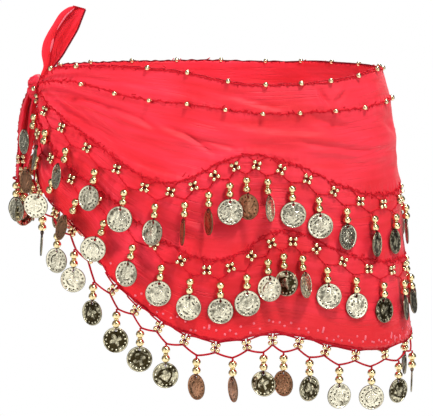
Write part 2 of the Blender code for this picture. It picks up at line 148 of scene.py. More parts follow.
# Folds of the cloth out of the hip ring: shares of the way down a band and mm out, and how strong
# they are along the scarf.
BAND_FOLDS = (
    (BEADS, UPPER, (0, 0.20, 0.40, 0.60, 0.80, 1), (0, -2.2, 2.0, -2.0, 0.3, 0)),
    (UPPER, LOWER, (0, 0.35, 0.70, 1), (0, -1.0, 0.0, 0)),
    (LOWER, HEM, (0, 0.35, 0.70, 1), (0, -1.0, 0.2, 0)),
)
FOLD_ANGLES = (0, 14, 35, 75, 95, 120, 150, 180)
FOLD_STRENGTH = (0.0, 0.08, 0.24, 0.75, 0.45, 0.8, 0.6, 0.3)
BAND_SHARE = 0.75

# Creases: depth and half width in mm, then the line they follow as angles and heights. Negative
# depths are ridges.
FRONT_CREASES = (
    (1.5, 2.2, ((33, -18), (45, -20), (51, -23), (58, -28), (63, -32), (67, -35), (70, -40), (73, -45))),
    (1.7, 2.4, ((73, -40), (77, -43), (82, -48), (85, -53), (88, -59), (91, -63))),
    (1.2, 2.0, ((82, -47), (86, -52), (91, -55), (95, -57), (97, -60))),
    (0.9, 2.4, ((90, -15), (97, -16), (105, -23), (109, -26), (112, -26))),
    (1.7, 2.0, ((126, -11), (127, -18), (129, -25))),
    (1.2, 1.8, ((138, -11), (135, -17), (131, -24))),
    (1.7, 4.0, ((122, -34), (131, -42), (143, -48))),
    (1.3, 2.4, ((108, -52), (117, -54), (127, -59), (142, -64), (168, -67))),
    (0.7, 2.6, ((8, -11), (20, -14), (34, -24), (46, -36), (56, -50), (62, -64))),
    (-0.8, 3.0, ((8, -12), (20, -18), (32, -31), (44, -46))),
    (0.6, 2.2, ((7, -13), (16, -22), (27, -35))),
    (0.7, 2.6, ((10, -9), (26, -10), (44, -16), (60, -26), (74, -34))),
    (0.9, 2.2, ((8, -7), (18, -3), (32, 0), (48, 1))),
    (0.8, 2.6, ((30, -2), (46, -2), (60, -6), (76, -11), (88, -17))),
    (0.7, 3.4, ((96, -42), (110, -44), (126, -48), (150, -52))),
    (0.7, 3.0, ((58, -62), (70, -74), (80, -80), (88, -74))),
    (0.8, 3.4, ((150, -34), (162, -42), (172, -52))),
    (0.7, 4.0, ((110, -100), (124, -112), (138, -128))),
    (0.7, 4.0, ((78, -112), (88, -122), (98, -118))),
    (0.8, 4.0, ((100, -168), (116, -174), (132, -188), (150, -196))),
    (0.7, 4.0, ((60, -138), (70, -156), (80, -172))),
)
BACK_CREASES = (
    (1.4, 2.4, ((30, -14), (44, -19), (56, -27), (66, -36), (74, -47))),
    (1.5, 2.6, ((68, -34), (78, -44), (88, -55), (98, -62))),
    (1.1, 2.2, ((86, -40), (98, -46), (112, -50), (128, -56))),
    (0.9, 2.8, ((96, -12), (110, -17), (124, -20))),
    (1.0, 3.0, ((120, -38), (134, -50), (148, -58), (166, -64))),
    (1.2, 2.6, ((8, -10), (22, -18), (36, -30), (50, -46), (60, -62))),
    (-0.8, 3.0, ((8, -12), (20, -20), (34, -36))),
    (1.0, 2.4, ((8, -7), (22, 0), (40, 1), (60, -2))),
    (0.8, 3.2, ((140, -36), (156, -40), (172, -46))),
    (0.7, 4.0, ((96, -106), (112, -118), (130, -130))),
    (0.8, 4.0, ((90, -172), (108, -180), (126, -192))),
    (0.7, 4.0, ((56, -126), (68, -150), (80, -170))),
)

# Edge beads along the front's top edge, the back's, and the crochet line below, in degrees.
TOP_BEADS = (24.0, 40.5, 69.0, 82.0, 94.7, 106.6, 118.8, 130.4, 144.3, 160.9, 176.0)
BACK_BEADS = (24.0, 42.0, 60.0, 77.0, 92.8, 109.0, 122.8, 136.7, 152.5, 172.0)
LINE_BEADS = (44.2, 57.9, 70.0, 82.0, 93.8, 105.3, 117.7, 131.0, 145.1, 162.3, 176.5)
KNOT_BEAD = (-155.5, -13.4, -14.0)

# The hip opposite the knot: mm that each stretch stops short of it, then heights, and mm the
# ring is moved out there.
HIP_GAP = 0.03
FAR_HIP = np.array([(-226, 2.2), (-165, 1.6), (-105, 3.2), (-50, 3.2), (-22, 1.6), (4, -3.2)])

# Where a stretch starts beside the knot, at its top edge and hem in degrees, and how far its trims
# keep from its ends. Its pattern map is as tall as the cut cloth, in metres.
CLOTH_START = (0.15, 2.2)
TRIM_ENDS = (6.0, 0.3)
CUT_HEIGHT = 0.23

# Knot: height of its middle, half sizes along the ring and up, reach, rim's share of the reach,
# and its gap to the cloth.
KNOT_HEIGHT = -13.4
KNOT_HALF_LONG = 11.0
KNOT_HALF_TALL = 11.6
KNOT_REACH = 9.5
KNOT_RIM = 0.2
KNOT_GAP = 0.65

# Standing tail, from the knot up: x and z of its left edge, x and z of its right edge, and how
# far across the strip folded over its left edge reaches.
STANDING = np.array([
    (-150.5, -9.0, -146.0, -8.0, 0.40),
    (-150.4, -3.5, -143.2, -0.5, 0.42),
    (-147.4, 5.2, -138.2, 5.8, 0.42),
    (-148.6, 16.0, -131.8, 13.8, 0.40),
    (-147.0, 25.3, -127.4, 20.8, 0.36),
    (-143.4, 33.0, -122.4, 29.2, 0.27),
    (-138.9, 40.3, -118.0, 36.9, 0.24),
    (-132.6, 50.2, -114.6, 45.6, 0.28),
    (-126.0, 55.4, -112.6, 50.8, 0.30),
    (-121.0, 57.0, -111.2, 54.3, 0.22),
])

# Its section: share of the cloth's width, share across from the left edge to the right, mm back.
STANDING_SECTION = np.array([
    (0.00, 1.00, -1.7),
    (0.13, 0.62, -2.6),
    (0.26, 0.10, -2.3),
    (0.32, -0.04, -1.1),
    (0.39, 0.08, 0.2),
    (0.60, 0.40, 0.9),
    (0.84, 0.84, 0.5),
    (0.95, 0.99, -0.6),
    (1.00, 0.95, -1.3),
])
FLAP_END = 0.32

# Hanging tail, from the knot down: z, stand-off from the hips, width, depth of its pleats.
HANGING = np.array([
    (-12.0, 0.9, 7.0, 2.2),
    (-18.0, 0.9, 9.2, 2.2),
    (-25.6, 0.9, 11.5, 2.4),
    (-32.0, 1.1, 13.0, 2.8),
    (-42.0, 1.2, 13.8, 3.0),
    (-54.0, 1.3, 13.6, 3.2),
    (-66.0, 1.6, 12.5, 3.2),
    (-78.0, 3.4, 10.5, 3.0),
    (-90.0, 4.0, 9.5, 2.8),
    (-102.0, 3.6, 8.0, 2.4),
    (-113.0, 2.0, 5.0, 1.8),
])

# Cord tied round the hanging tail: x, y, z from the front round to the back, and whether a
# dangle hangs there.
TAIL_TIE = (
    (-163.0, -6.4, -98.0, False),
    (-166.0, -6.4, -97.5, True),
    (-172.0, -10.0, -93.5, True),
    (-175.0, -4.0, -92.6, False),
    (-175.0, 4.0, -92.6, False),
    (-172.0, 10.0, -93.5, True),
    (-166.0, 6.4, -97.5, True),
    (-163.0, 6.4, -98.0, False),
)

# Net and dangles, as the solids have them.
CLOTH_FACE = 0.75
ROOT_DROP = 7.6
FRINGE_GAP = 0.7
CORD_ROOM = 1.8
FLOWER_ROOM = 8.4
NET_DROP = 4.0
COIN_RADIUS = 10.75
COIN_TOP = 14.6
BEAD_1 = 4.2
SPACER = 7.8
BEAD_2 = 11.4
HOLE_FROM_CENTRE = 8.2
LOOP_ABOVE = 1.3
CROCHET_ABOVE = 8.0
STRAND_RADIUS = 0.5
STRAND_END = COIN_TOP - 0.4
COIN_OFF_CLOTH = 1.7
BEAD_OFF_CLOTH = 0.2
NET_OFF_CLOTH = 1.0
TRIM_STEPS = 420
STITCH_STEPS = 522
HEM_STITCHES = 64
HEM_STITCHED = (60.0, 176.0)

# Flowers: their beads' distance from the middle as a share of the bead's radius, and where cords
# leave them, to the side and up or down. Cords land on the crochet line at a share of a unit.
FLOWER_SPREAD = 1.06
FLOWER_SIDE = 1.2
FLOWER_FOOT = 3.2
LANDING = 0.42
LOOSE_END = 1.2


def smooth(x, xs, ys):
    """A smooth curve through the points (xs, ys): cubic pieces with central slopes."""
    xs = np.asarray(xs, float)
    ys = np.asarray(ys, float)
    x = np.clip(np.asarray(x, float), xs[0], xs[-1])
    slopes = np.gradient(ys, xs)
    i = np.clip(np.searchsorted(xs, x, side="right") - 1, 0, len(xs) - 2)
    step = xs[i + 1] - xs[i]
    t = (x - xs[i]) / step
    return (
        (1 + 2 * t) * (1 - t) ** 2 * ys[i]
        + t * (1 - t) ** 2 * step * slopes[i]
        + t ** 2 * (3 - 2 * t) * ys[i + 1]
        + t ** 2 * (t - 1) * step * slopes[i + 1]
    )


def read(table, column, x):
    """A column of a table at x: the smooth curve through it, over the table's first column."""
    return smooth(x, table[:, 0], table[:, column])


def fold_back(angle):
    """The angle from the knot on either side: the back is the mirror of the front."""
    angle = np.asarray(angle, float)
    return np.where(angle > MIDDLE, TURN - angle, angle)


def height(line, angle):
    """Height of a line of the scarf at an angle: a smooth curve through the table's heights."""
    near = fold_back(angle)
    front = read(LINES, line, near)
    if line == TOP_FRONT:
        back = read(LINES, TOP_BACK, near)
    else:
        back = front + RISE_SHARE.get(line, 0.0) * read(BACK_RISE, 1, near)
    return np.where(np.asarray(angle, float) > MIDDLE, back, front)


def station(row, unit):
    """Angle of a flower (whole unit) or dangle (half unit)."""
    unit = np.asarray(unit, float)
    near = np.where(unit > UNITS, 2 * UNITS - unit, unit)
    angle = read(STATIONS, STATION_COLUMN[row], near)
    return np.where(unit > UNITS, TURN - angle, angle)


def half_axes(z):
    """Half axes of the hip ring: they grow in step with the drop."""
    drop = np.maximum(-np.asarray(z, float), -TOP_REACH)
    return HALF_WIDTH + FLARE_WIDTH * drop, HALF_DEPTH + FLARE_DEPTH * drop


def unit_vector(v):
    """v at length one."""
    return v / np.linalg.norm(v, axis=-1, keepdims=True)


def outward(angle, z):
    """Level unit vector out of the ring: the ellipse's normal."""
    phi = np.radians(np.asarray(angle, float) - 90)
    a, b = half_axes(z)
    return unit_vector(np.stack([np.sin(phi) / a, -np.cos(phi) / b, 0 * phi * a], axis=-1))


def ring_point(angle, z, out=0.0, flare_from=None):
    """Point of the ring at an angle and height, moved out; flare_from hangs it plumb.

    The ring is an ellipse, moved at the far hip by the table times a bell round the angle.
    """
    angle, z = np.broadcast_arrays(np.asarray(angle, float), np.asarray(z, float))
    start = z if flare_from is None else flare_from
    phi = np.radians(angle - 90)
    a, b = half_axes(start)
    far = read(FAR_HIP, 1, start) * ((1 + np.sin(phi)) / 2) ** 6
    point = np.stack([a * np.sin(phi) + far, -b * np.cos(phi), z + 0 * phi], axis=-1)
    return point + np.asarray(out, float)[..., None] * outward(angle, start)


def beside(out):
    """Level vectors along the ring, square to the ways out."""
    return np.stack([-out[:, 1], out[:, 0], 0 * out[:, 0]], axis=-1)


def between(first, second, t):
    """Values on the straight way from each first one to its second one, at the shares t."""
    return first[:, None] * (1 - t) + second[:, None] * t


def mm_per_degree(angle, z):
    """Length of one degree along the ring."""
    return np.linalg.norm(ring_point(angle + 0.5, z) - ring_point(angle - 0.5, z), axis=-1)


def crease_depth(angle, z, creases):
    """Inward move from soft lines: a bell across each with a low swell below it, fading at its ends."""
    near = fold_back(angle)
    scale = mm_per_degree(near, z)
    total = np.zeros_like(z)
    for depth, width, line in creases:
        best, side, share = np.full(z.shape, 1e9), np.zeros_like(z), np.zeros_like(z)
        for i, (start, end) in enumerate(zip(line[:-1], line[1:])):
            along_x, along_z = (end[0] - start[0]) * scale, end[1] - start[1]
            x, y = (near - start[0]) * scale, z - start[1]
            t = np.clip((x * along_x + y * along_z) / (along_x ** 2 + along_z ** 2), 0, 1)
            away_x = x - t * along_x
            away_z = y - t * along_z
            distance = np.hypot(away_x, away_z)
            closer = distance < best
            best = np.where(closer, distance, best)
            side = np.where(closer, np.sign(away_x * along_z - away_z * along_x) * distance, side)
            share = np.where(closer, (i + t) / (len(line) - 1), share)
        taper = np.sin(math.pi * np.clip(share, 0.02, 0.98)) ** 0.6
        bell = np.exp(-(best / width) ** 2)
        swell = np.exp(-((side - 2.1 * width) / (1.6 * width)) ** 2)
        total += depth * taper * (0.5 * swell - bell)
    return total


def drape(angle, z):
    """Slow unevenness of hanging cloth: a few long waves added."""
    x = np.asarray(angle, float)
    return (
        0.35 * np.sin(x / 7.1 + z / 31 + 0.6)
        + 0.28 * np.sin(x / 3.7 - z / 19 + 2.1)
        + 0.20 * np.sin(x / 12.3 + z / 11 + 4.0)
        + 0.14 * np.sin(x / 1.9 + z / 23 + 1.3)
    )


def puckers(angle, z):
    """Fine gathers where thread is worked through the cloth: ripples that fade away from each line."""
    x = np.asarray(angle, float) * 2.3
    ripple = np.sin(x / 1.25 + 1.7 * np.sin(x / 5.3)) + 0.6 * np.sin(x / 0.83 + 2.2 * np.sin(x / 9.1))
    total = np.zeros_like(z)
    for line, above, reach, size in (
        (TOP_FRONT, 0.0, 4.0, 0.30),
        (BEADS, 0.0, 4.5, 0.42),
        (UPPER, CROCHET_ABOVE, 6.0, 0.55),
        (LOWER, CROCHET_ABOVE, 6.0, 0.55),
        (HEM, 1.0, 4.0, 0.35),
    ):
        away = z - height(line, angle) - above
        total += size * ripple * np.exp(-(away / reach) ** 2)
    return total


def pulls(angle, z):
    """Soft ridges drawn towards the knot: waves across each band, wandering and fading along it."""
    near = fold_back(angle)
    side = np.where(angle > MIDDLE, 1.9, 0.0)
    total = np.zeros(z.shape)
    for number, (above, below, count, size) in enumerate((
        (TOP_FRONT, BEADS, 1.6, 0.5), (BEADS, UPPER, 4.3, 0.95),
        (UPPER, LOWER, 2.7, 0.7), (LOWER, HEM, 3.1, 0.6),
    )):
        top, low = height(above, angle), height(below, angle)
        share = np.clip((top - z) / np.maximum(top - low, 3.0), 0, 1)
        wander = 0.9 * np.sin(near / 19 + number + side) + 0.3 * np.sin(near / 7.3 + 2 * number - side)
        wave = np.sin(2 * math.pi * (count * share + wander))
        sharp = wave - 0.28 * np.cos(4 * math.pi * (count * share + wander))
        uneven = 0.55 + 0.45 * np.sin(near / 11.7 + 5.1 * share + 1.3 * number + side)
        total += size * sharp * uneven * np.sin(math.pi * share) * (0.5 + 0.2 * np.exp(-near / 60))
    return total


def cloth_out(angle, z):
    """How far the cloth's middle stands out of the hip ring: band folds, creases, drape and puckers."""
    angle, z = np.broadcast_arrays(np.asarray(angle, float), np.asarray(z, float))
    strength = np.interp(fold_back(angle), FOLD_ANGLES, FOLD_STRENGTH) * BAND_SHARE
    total = np.zeros(z.shape)
    for above, below, shares, folds in BAND_FOLDS:
        top, low = height(above, angle), height(below, angle)
        total += smooth((top - z) / (top - low), shares, folds) * strength
    at_knot = np.clip(fold_back(angle) / 10, 0, 1)
    creases = [crease_depth(angle, z, lines) for lines in (FRONT_CREASES, BACK_CREASES)]
    creases = np.where(angle <= MIDDLE, *creases)
    return total + (1.9 * creases + drape(angle, z) + puckers(angle, z) + pulls(angle, z)) * at_knot


def on_cloth(angle, z, out=0.0):
    """Point over the cloth's outer face."""
    return ring_point(angle, z, cloth_out(angle, z) + CLOTH_FACE + out)


def along(row, unit):
    """Angle, height and slope (radians) of a row's flower line at units."""
    step = 0.25
    unit = np.asarray(unit, float)
    before = station(row, np.maximum(unit - step, 0))
    after = station(row, np.minimum(unit + step, 2 * UNITS))
    angle = station(row, unit)
    z = height(row, angle)
    rise = height(row, after) - height(row, before)
    return angle, z, np.arctan2(rise, (after - before) * mm_per_degree(angle, z))


def shift(angle, z, slope, across, down):
    """Move along a row by across mm and square to it, downwards, by down mm."""
    side = across * np.cos(slope) + down * np.sin(slope)
    low = z + across * np.sin(slope) - down * np.cos(slope)
    return angle + side / mm_per_degree(angle, z), low


class Patch:
    """Points (n, 3) in mm, faces (m, k), pattern places (m, k, 2) and end caps of closed surfaces."""

    def __init__(self, points, faces, places, caps=np.zeros((0, 3), np.int64)):
        self.points, self.faces, self.places, self.caps = points, faces, places, caps

    def outwards(self):
        """The same patch with its faces pointing out: turned when its signed volume is negative."""
        p, f = self.points, self.faces
        volume = sum(
            (p[f[:, 0]] * np.cross(p[f[:, i]], p[f[:, i + 1]])).sum() for i in range(1, f.shape[1] - 1)
        )
        return Patch(p, f[:, ::-1], self.places[:, ::-1]) if volume < 0 else self

    def repeat(self, origins, frames, tones=0.0):
        """Copies of the patch: each copy's points are origin + point times its three axes.

        A copy's tone is written into its pattern map as whole steps along the first number.
        """
        count = len(origins)
        points = np.einsum("va,nab->nvb", self.points, frames) + origins[:, None, :]
        faces = self.faces[None] + (np.arange(count) * len(self.points))[:, None, None]
        places = self.places + np.zeros((count, 1, 1, 1))
        places[..., 0] += TONE_STEP * np.broadcast_to(tones, (count,))[:, None, None]
        k = faces.shape[2]
        return Patch(points.reshape(-1, 3), faces.reshape(-1, k), places.reshape(-1, k, 2))


def grid_faces(rows, columns, closed_rows=False, closed_columns=False):
    """Quads of a grid of points, numbered row by row, and their places counted in steps."""
    i, j = np.meshgrid(
        np.arange(rows if closed_rows else rows - 1),
        np.arange(columns if closed_columns else columns - 1),
        indexing="ij",
    )
    i, j = i.ravel(), j.ravel()
    corners = ((0, 0), (0, 1), (1, 1), (1, 0))
    faces = np.stack([((i + a) % rows) * columns + (j + b) % columns for a, b in corners], axis=1)
    places = np.stack([np.stack([i + a, j + b], axis=-1) for a, b in corners], axis=1)
    return faces, places.astype(float)


def shell(outer, inner, place_u, place_v):
    """A closed thin wall from two matching grids of points, with places (metres) for its pattern."""
    rows, columns = outer.shape[:2]
    faces, _ = grid_faces(rows, columns)
    count = rows * columns
    index = np.arange(count).reshape(rows, columns)
    rim = np.concatenate([index[0, :], index[1:, -1], index[-1, -2::-1], index[-2:0:-1, 0]])
    after = np.roll(rim, -1)
    edge = np.stack([rim, after, after + count, rim + count], axis=1)
    flat = [np.broadcast_to(place, (rows, columns)).ravel() for place in (place_u, place_v)]
    both = np.tile(np.stack(flat, axis=-1), (2, 1))
    everything = np.concatenate([faces[:, ::-1], faces + count, edge])
    points = np.concatenate([outer.reshape(-1, 3), inner.reshape(-1, 3)])
    return Patch(points, everything, both[everything]).outwards()


def tube(path, radius, sides, closed=False):
    """Round cords along paths (n, p, 3): circles square to the path, with flat ends.

    The circle's first axis is the path's direction crossed with the way out of the scarf.
    """
    count, steps = path.shape[:2]
    course = np.roll(path, -1, axis=1) - np.roll(path, 1, axis=1) if closed else np.gradient(path, axis=1)
    course = unit_vector(course)
    guide = unit_vector(path * (1, 1, 0) + (0, 1e-6, 0.0)) + 0.21 * np.array([0.31, 0.17, 0.05])
    first = unit_vector(np.cross(course, guide))
    second = np.cross(course, first)
    turn = 2 * math.pi * np.arange(sides) / sides
    radius = np.broadcast_to(np.asarray(radius, float), (count, steps))
    ring = np.cos(turn)[:, None] * first[:, :, None, :] + np.sin(turn)[:, None] * second[:, :, None, :]
    points = path[:, :, None, :] + radius[:, :, None, None] * ring
    faces, places = grid_faces(steps, sides, closed_rows=closed, closed_columns=True)
    length = np.linalg.norm(np.diff(path, axis=1), axis=-1).sum(axis=1).mean() / max(steps - 1, 1)
    places = np.tile(places * (length * MM, 1 / sides), (count, 1, 1))
    start = (np.arange(count) * steps * sides)[:, None, None]
    faces = (faces[None] + start).reshape(-1, 4)
    if closed:
        return Patch(points.reshape(-1, 3), faces, places)
    ends = np.stack([np.arange(sides)[::-1], (steps - 1) * sides + np.arange(sides)])
    return Patch(points.reshape(-1, 3), faces, places, (ends[None] + start).reshape(-1, sides))


def lathe(profile, sides):
    """A turned body: a closed line (r, z) carried round the Z axis."""
    turn = 2 * math.pi * np.arange(sides) / sides
    r, z = np.asarray(profile, float).T[:, :, None]
    points = np.stack([r * np.cos(turn), r * np.sin(turn), z + 0 * turn], axis=-1)
    faces, places = grid_faces(len(profile), sides, closed_rows=True, closed_columns=True)
    return Patch(points.reshape(-1, 3), faces, places).outwards()


def make(name, patches, finish, replaced=()):
    """Put patches into one mesh object that rides on the scarf and stands for some nodes."""
    corners, counts, places, start = [], [], [], 0
    for patch in patches:
        caps = patch.caps
        for faces, spots in ((patch.faces, patch.places), (caps, np.zeros(caps.shape + (2,)))):
            corners.append((faces + start).ravel())
            counts.append(np.full(len(faces), faces.shape[1]))
            places.append(spots.reshape(-1, 2))
        start += len(patch.points)
    points = np.concatenate([patch.points for patch in patches]) * MM
    corners, counts = np.concatenate(corners), np.concatenate(counts)
    if name in bpy.data.objects:
        bpy.data.objects.remove(bpy.data.objects[name], do_unlink=True)
    mesh = bpy.data.meshes.new(name)
    mesh.vertices.add(len(points))
    mesh.vertices.foreach_set("co", points.ravel())
    mesh.loops.add(len(corners))
    mesh.loops.foreach_set("vertex_index", corners)
    mesh.polygons.add(len(counts))
    mesh.polygons.foreach_set("loop_start", np.cumsum(counts) - counts)
    mesh.uv_layers.new(name="pattern")
    mesh.update(calc_edges=True)
    mesh.uv_layers["pattern"].uv.foreach_set("vector", np.concatenate(places).ravel())
    mesh.polygons.foreach_set("use_smooth", np.full(len(counts), True))
    if mesh.validate():
        raise RuntimeError(f"{name}: the mesh was not sound")
    mesh.materials.append(material(finish))
    piece = bpy.data.objects.new(name, mesh)
    bpy.context.scene.collection.objects.link(piece)
    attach(piece, BODY)
    if replaced:
        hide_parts(*replaced)
    return piece


class Socket:
    """A shader value: arithmetic on it adds Math nodes."""

    def __init__(self, build, socket):
        self.build = build
        self.socket = socket

    def _math(self, operation, *values):
        return self.build.node("ShaderNodeMath", {"operation": operation}, values)

    def __add__(self, other):
        return self._math("ADD", self, other)

    def __sub__(self, other):
        return self._math("SUBTRACT", self, other)

    def __rsub__(self, other):
        return self._math("SUBTRACT", other, self)

    def __mul__(self, other):
        return self._math("MULTIPLY", self, other)

    def __truediv__(self, other):
        return self._math("DIVIDE", self, other)

    __radd__ = __add__
    __rmul__ = __mul__

    def its(self, function, *others):
        """A function of the Math node, such as SINE."""
        return self._math(function, self, *others)

    def ramp(self, low, high, least=0.0, most=1.0):
        """least below low, most above high, smooth between; high may be the lower one."""
        values = (self, low, high, least, most)
        return self.build.node("ShaderNodeMapRange", {"interpolation_type": "SMOOTHSTEP"}, values)


class Nodes:
    """Builds a node tree. node() is the one way in which it adds nodes."""

    def __init__(self, tree):
        self.tree = tree

    def node(self, kind, settings=None, values=(), output=0):
        """Add a node: its settings first, then its sockets by order or by name."""
        node = self.tree.nodes.new(kind)
        for key, value in (settings or {}).items():
            setattr(node, key, value)
        pairs = values.items() if isinstance(values, dict) else enumerate(values)
        for key, value in pairs:
            if isinstance(value, Socket):
                self.tree.links.new(value.socket, node.inputs[key])
            else:
                node.inputs[key].default_value = value
        return Socket(self, node.outputs[output])

    def noise(self, place, scale, detail=3.0):
        """Soft noise around a half."""
        values = {"Vector": place, "Scale": scale, "Detail": detail}
        return self.node("ShaderNodeTexNoise", {"noise_dimensions": "3D"}, values)


class Finish(Nodes):
    """One node material."""

    def __init__(self, name, **constants):
        self.material = bpy.data.materials.new(name)
        self.material.use_nodes = True
        super().__init__(self.material.node_tree)
        self.shader = self.tree.nodes["Principled BSDF"]
        for socket, value in constants.items():
            self.shader.inputs[socket.replace("_", " ")].default_value = value

    def mix(self, share, first, second):
        """A colour between two colours."""
        values = {0: share, 6: first, 7: second}
        return self.node("ShaderNodeMix", {"data_type": "RGBA"}, values, output=2)

    def vector(self, *values):
        """A place made of three numbers."""
        return self.node("ShaderNodeCombineXYZ", None, values)

    def pattern(self):
        """The piece's own pattern map, as two numbers."""
        uv = self.node("ShaderNodeUVMap", {"uv_map": "pattern"})
        split = self.node("ShaderNodeSeparateXYZ", None, (uv,))
        return split, Socket(self, split.socket.node.outputs[1])

    def place(self):
        """Object coordinates."""
        return self.node("ShaderNodeTexCoord", output="Object")

    def link(self, value, socket):
        """Carry a value to a socket of the shader."""
        self.tree.links.new(value.socket, self.shader.inputs[socket])

    def bump(self, relief, distance, strength):
        """Relief of a height value, distance in metres."""
        values = {"Strength": strength, "Distance": distance, "Height": relief}
        self.link(self.node("ShaderNodeBump", None, values), "Normal")


def tint(colour, red, green, blue):
    """A colour with each of its parts scaled, up to full."""
    return tuple(min(1.0, c * k) for c, k in zip(colour, (red, green, blue))) + (1.0,)


def chiffon(name, colour, drawn_by):
    """Thin crinkled cloth: streaks drawn towards the knot, crumples, and a soft sheen. Its colour runs
    between a darker copy of its red, which paints shade, and a lighter, pinker copy, which paints sheen; the
    share between them follows slow patches of random tone, the streaks, which paint the shade of its folds,
    painted shade along fine fold lines, and painted darkening towards its lower part and hem.
    """
    finish = Finish(
        name, Roughness=0.58, Sheen_Weight=0.22, Sheen_Roughness=0.4,
        Sheen_Tint=(1.0, 0.62, 0.62, 1.0), Specular_IOR_Level=0.35,
    )
    u, v = finish.pattern()
    place = finish.place()
    slow = finish.noise(place, 14.0, 2.0)
    crinkle = finish.noise(place, 210.0)
    streak = finish.noise(finish.vector(u * 16.0, v * 130.0, 0.0), 1.0)
    fine = finish.noise(finish.vector(u * 7.0, v * 150.0, 3.0), 1.0, 1.0)
    clear = (fine - 0.5).its("ABSOLUTE").ramp(0.0, 0.055)
    line = (1.0 - clear) * finish.noise(place, 28.0, 1.0).ramp(0.42, 0.60)
    crumple = finish.noise(finish.vector(u * 30.0 + v * 12.0, v * 75.0 - u * 8.0, 7.0), 1.0, 2.0)
    # Painted shade: darker patches over the lower part of the cloth, and an even darkening near the hem.
    lower = (v * -1.0).ramp(0.07, 0.15) * (finish.noise(place, 42.0, 2.0) * 1.2 - 0.15)
    lowest = (v * -1.0).ramp(0.19, 0.228) * 0.34
    # Share of the lighter copy: slow patches of random tone, and streaks that paint the shade of the folds
    # drawn towards the knot, less the painted shade of the lower part and the hem.
    share = (slow * 0.9 + (streak - 0.5) * drawn_by + 0.10 - lower * 0.20 - lowest).ramp(0.15, 0.85)
    # Painted shade along fine fold lines, which the bump also dents a little; it is stronger where the
    # streaks are drawn harder.
    share = share * (1.0 - line * 0.4 * drawn_by)
    # Painted light and shade: a darker copy of the red for painted shade, and a lighter, pinker copy for
    # painted sheen.
    painted_shade_red = tint(colour, 0.78, 0.42, 0.40)
    finish.link(finish.mix(share, painted_shade_red, tint(colour, 1.04, 1.5, 1.6)), "Base Color")
    relief = streak * (0.0010 * drawn_by) + crumple * 0.0016 + crinkle * 0.00030 - line * 0.0003
    finish.bump(relief, 1.0, 0.8)
    return finish.material


def crochet_thread(name, colour, ply):
    """Twisted thread: slanting plies along its pattern map, with painted shade in the grooves."""
    finish = Finish(name, Roughness=0.75, Specular_IOR_Level=0.12)
    u, v = finish.pattern()
    twist = ((u / ply + v * 2.0) * (2 * math.pi)).its("SINE") * 0.5 + 0.5
    fuzz = finish.noise(finish.place(), 900.0)
    # Painted shade: a darker copy of the thread's colour in the grooves of the twist.
    dark = tint(colour, 0.70, 0.70, 0.70)
    finish.link(finish.mix(twist * 0.7 + fuzz * 0.3, dark, colour), "Base Color")
    finish.bump(twist + fuzz * 0.4, 0.00012, 0.6)
    return finish.material


def gilt_bead(name, colour, roughness):
    """Plated bead: polished metal, a little duller in patches."""
    finish = Finish(name, Metallic=1.0)
    wear = finish.noise(finish.place(), 220.0, 4.0)
    dull = tint(colour, 0.86, 0.86, 0.86)
    finish.link(finish.mix(wear.ramp(0.42, 0.7), colour, dull), "Base Color")
    finish.link(wear * 0.10 + (roughness - 0.05), "Roughness")
    finish.bump(wear, 0.00004, 0.3)
    return finish.material


def stamped_coin(name, bright):
    """Stamped thin coin: raised rim, ring of dots, a line, a plain rosette, hammered and worn.

    The whole steps of the pattern's first number give the coin's painted tone; what is left is its face.
    Its colour is painted light and shade: the hollows of its relief and the edge of its rim go to a
    dark colour of painted shade, the dots are painted as shaded hollows on bright coins and as
    highlights on shaded ones, and slow patches are partly wear and partly painted reflection.
    """
    finish = Finish(name, Metallic=1.0)
    u, y = finish.pattern()
    step = (u / TONE_STEP + 0.5).its("FLOOR")
    x = u - step * TONE_STEP
    r = (x * x + y * y).its("SQRT")
    a = y.its("ARCTAN2", x)
    place = finish.place()
    rough = finish.noise(place, 420.0)
    slow = finish.noise(place, 150.0, 2.0)
    rim = r.ramp(0.89, 0.92)
    dots = 15
    cell = (a * (dots / (2 * math.pi)) + 40.0).its("FRACT") - 0.5
    arc = cell * r * (2 * math.pi / dots)
    off = r - 0.77
    dot = (arc * arc + off * off).its("SQRT").ramp(0.085, 0.05)
    bent = r + (slow - 0.5) * 0.5
    leaf = (a * 2.0 + slow * 5.0).its("COSINE").its("ABSOLUTE")
    petal = (bent * 1.85 - leaf * 0.75 - 0.15).ramp(0.08, -0.08)
    vein = (a * 4.0).its("SINE").its("ABSOLUTE").ramp(0.0, 0.25)
    gap = (bent - 0.52).its("ABSOLUTE").ramp(0.12, 0.03) * (slow - 0.50).ramp(0.0, 0.10)
    relief = rim * 0.4 + petal * vein * 0.4 - gap * 0.6
    mottle = (rough - 0.5) * 0.1 + (slow - 0.5) * 1.9
    second = step.ramp(0.4, 0.6)
    third = step.ramp(1.4, 1.6)
    # Bright coins: hollows and dots in painted shade, raised parts painted lighter.
    pale = (relief - dot * (slow * 3.0 - 0.9).ramp(0.1, 0.9) * 0.7 + mottle).ramp(-0.50, 0.0)
    # Shaded coins: dots and rim painted as highlights.
    dim = (relief + dot * 0.7 + mottle * 1.3).ramp(-0.10, 0.60)
    # The edge of the rim in painted shade.
    share = (pale + (dim - pale) * (second - third)) * (1.0 - r.ramp(0.945, 0.975) * 0.75)
    # Painted shade and painted reflection: a greenish shaded copy of the coins' metal, and a brownish copy
    # for coins that reflect the red cloth and dim surroundings.
    painted_shade_olive = (0.80, 0.74, 0.52, 1.0)
    painted_brown_reflection = (0.50, 0.25, 0.14, 1.0)
    tone = finish.mix(third, finish.mix(second, bright, painted_shade_olive), painted_brown_reflection)
    finish.link(finish.mix(share, colours().coin_painted_shade, tone), "Base Color")
    finish.link(0.31 - share * 0.08 + rough * 0.08 + third * 0.16, "Roughness")
    worn = (relief + dot * 0.5) * 0.0006 + (rough - 0.5) * 0.00002 + (slow - 0.5) * 0.0013
    finish.bump(worn, 1.0, 0.9)
    return finish.material


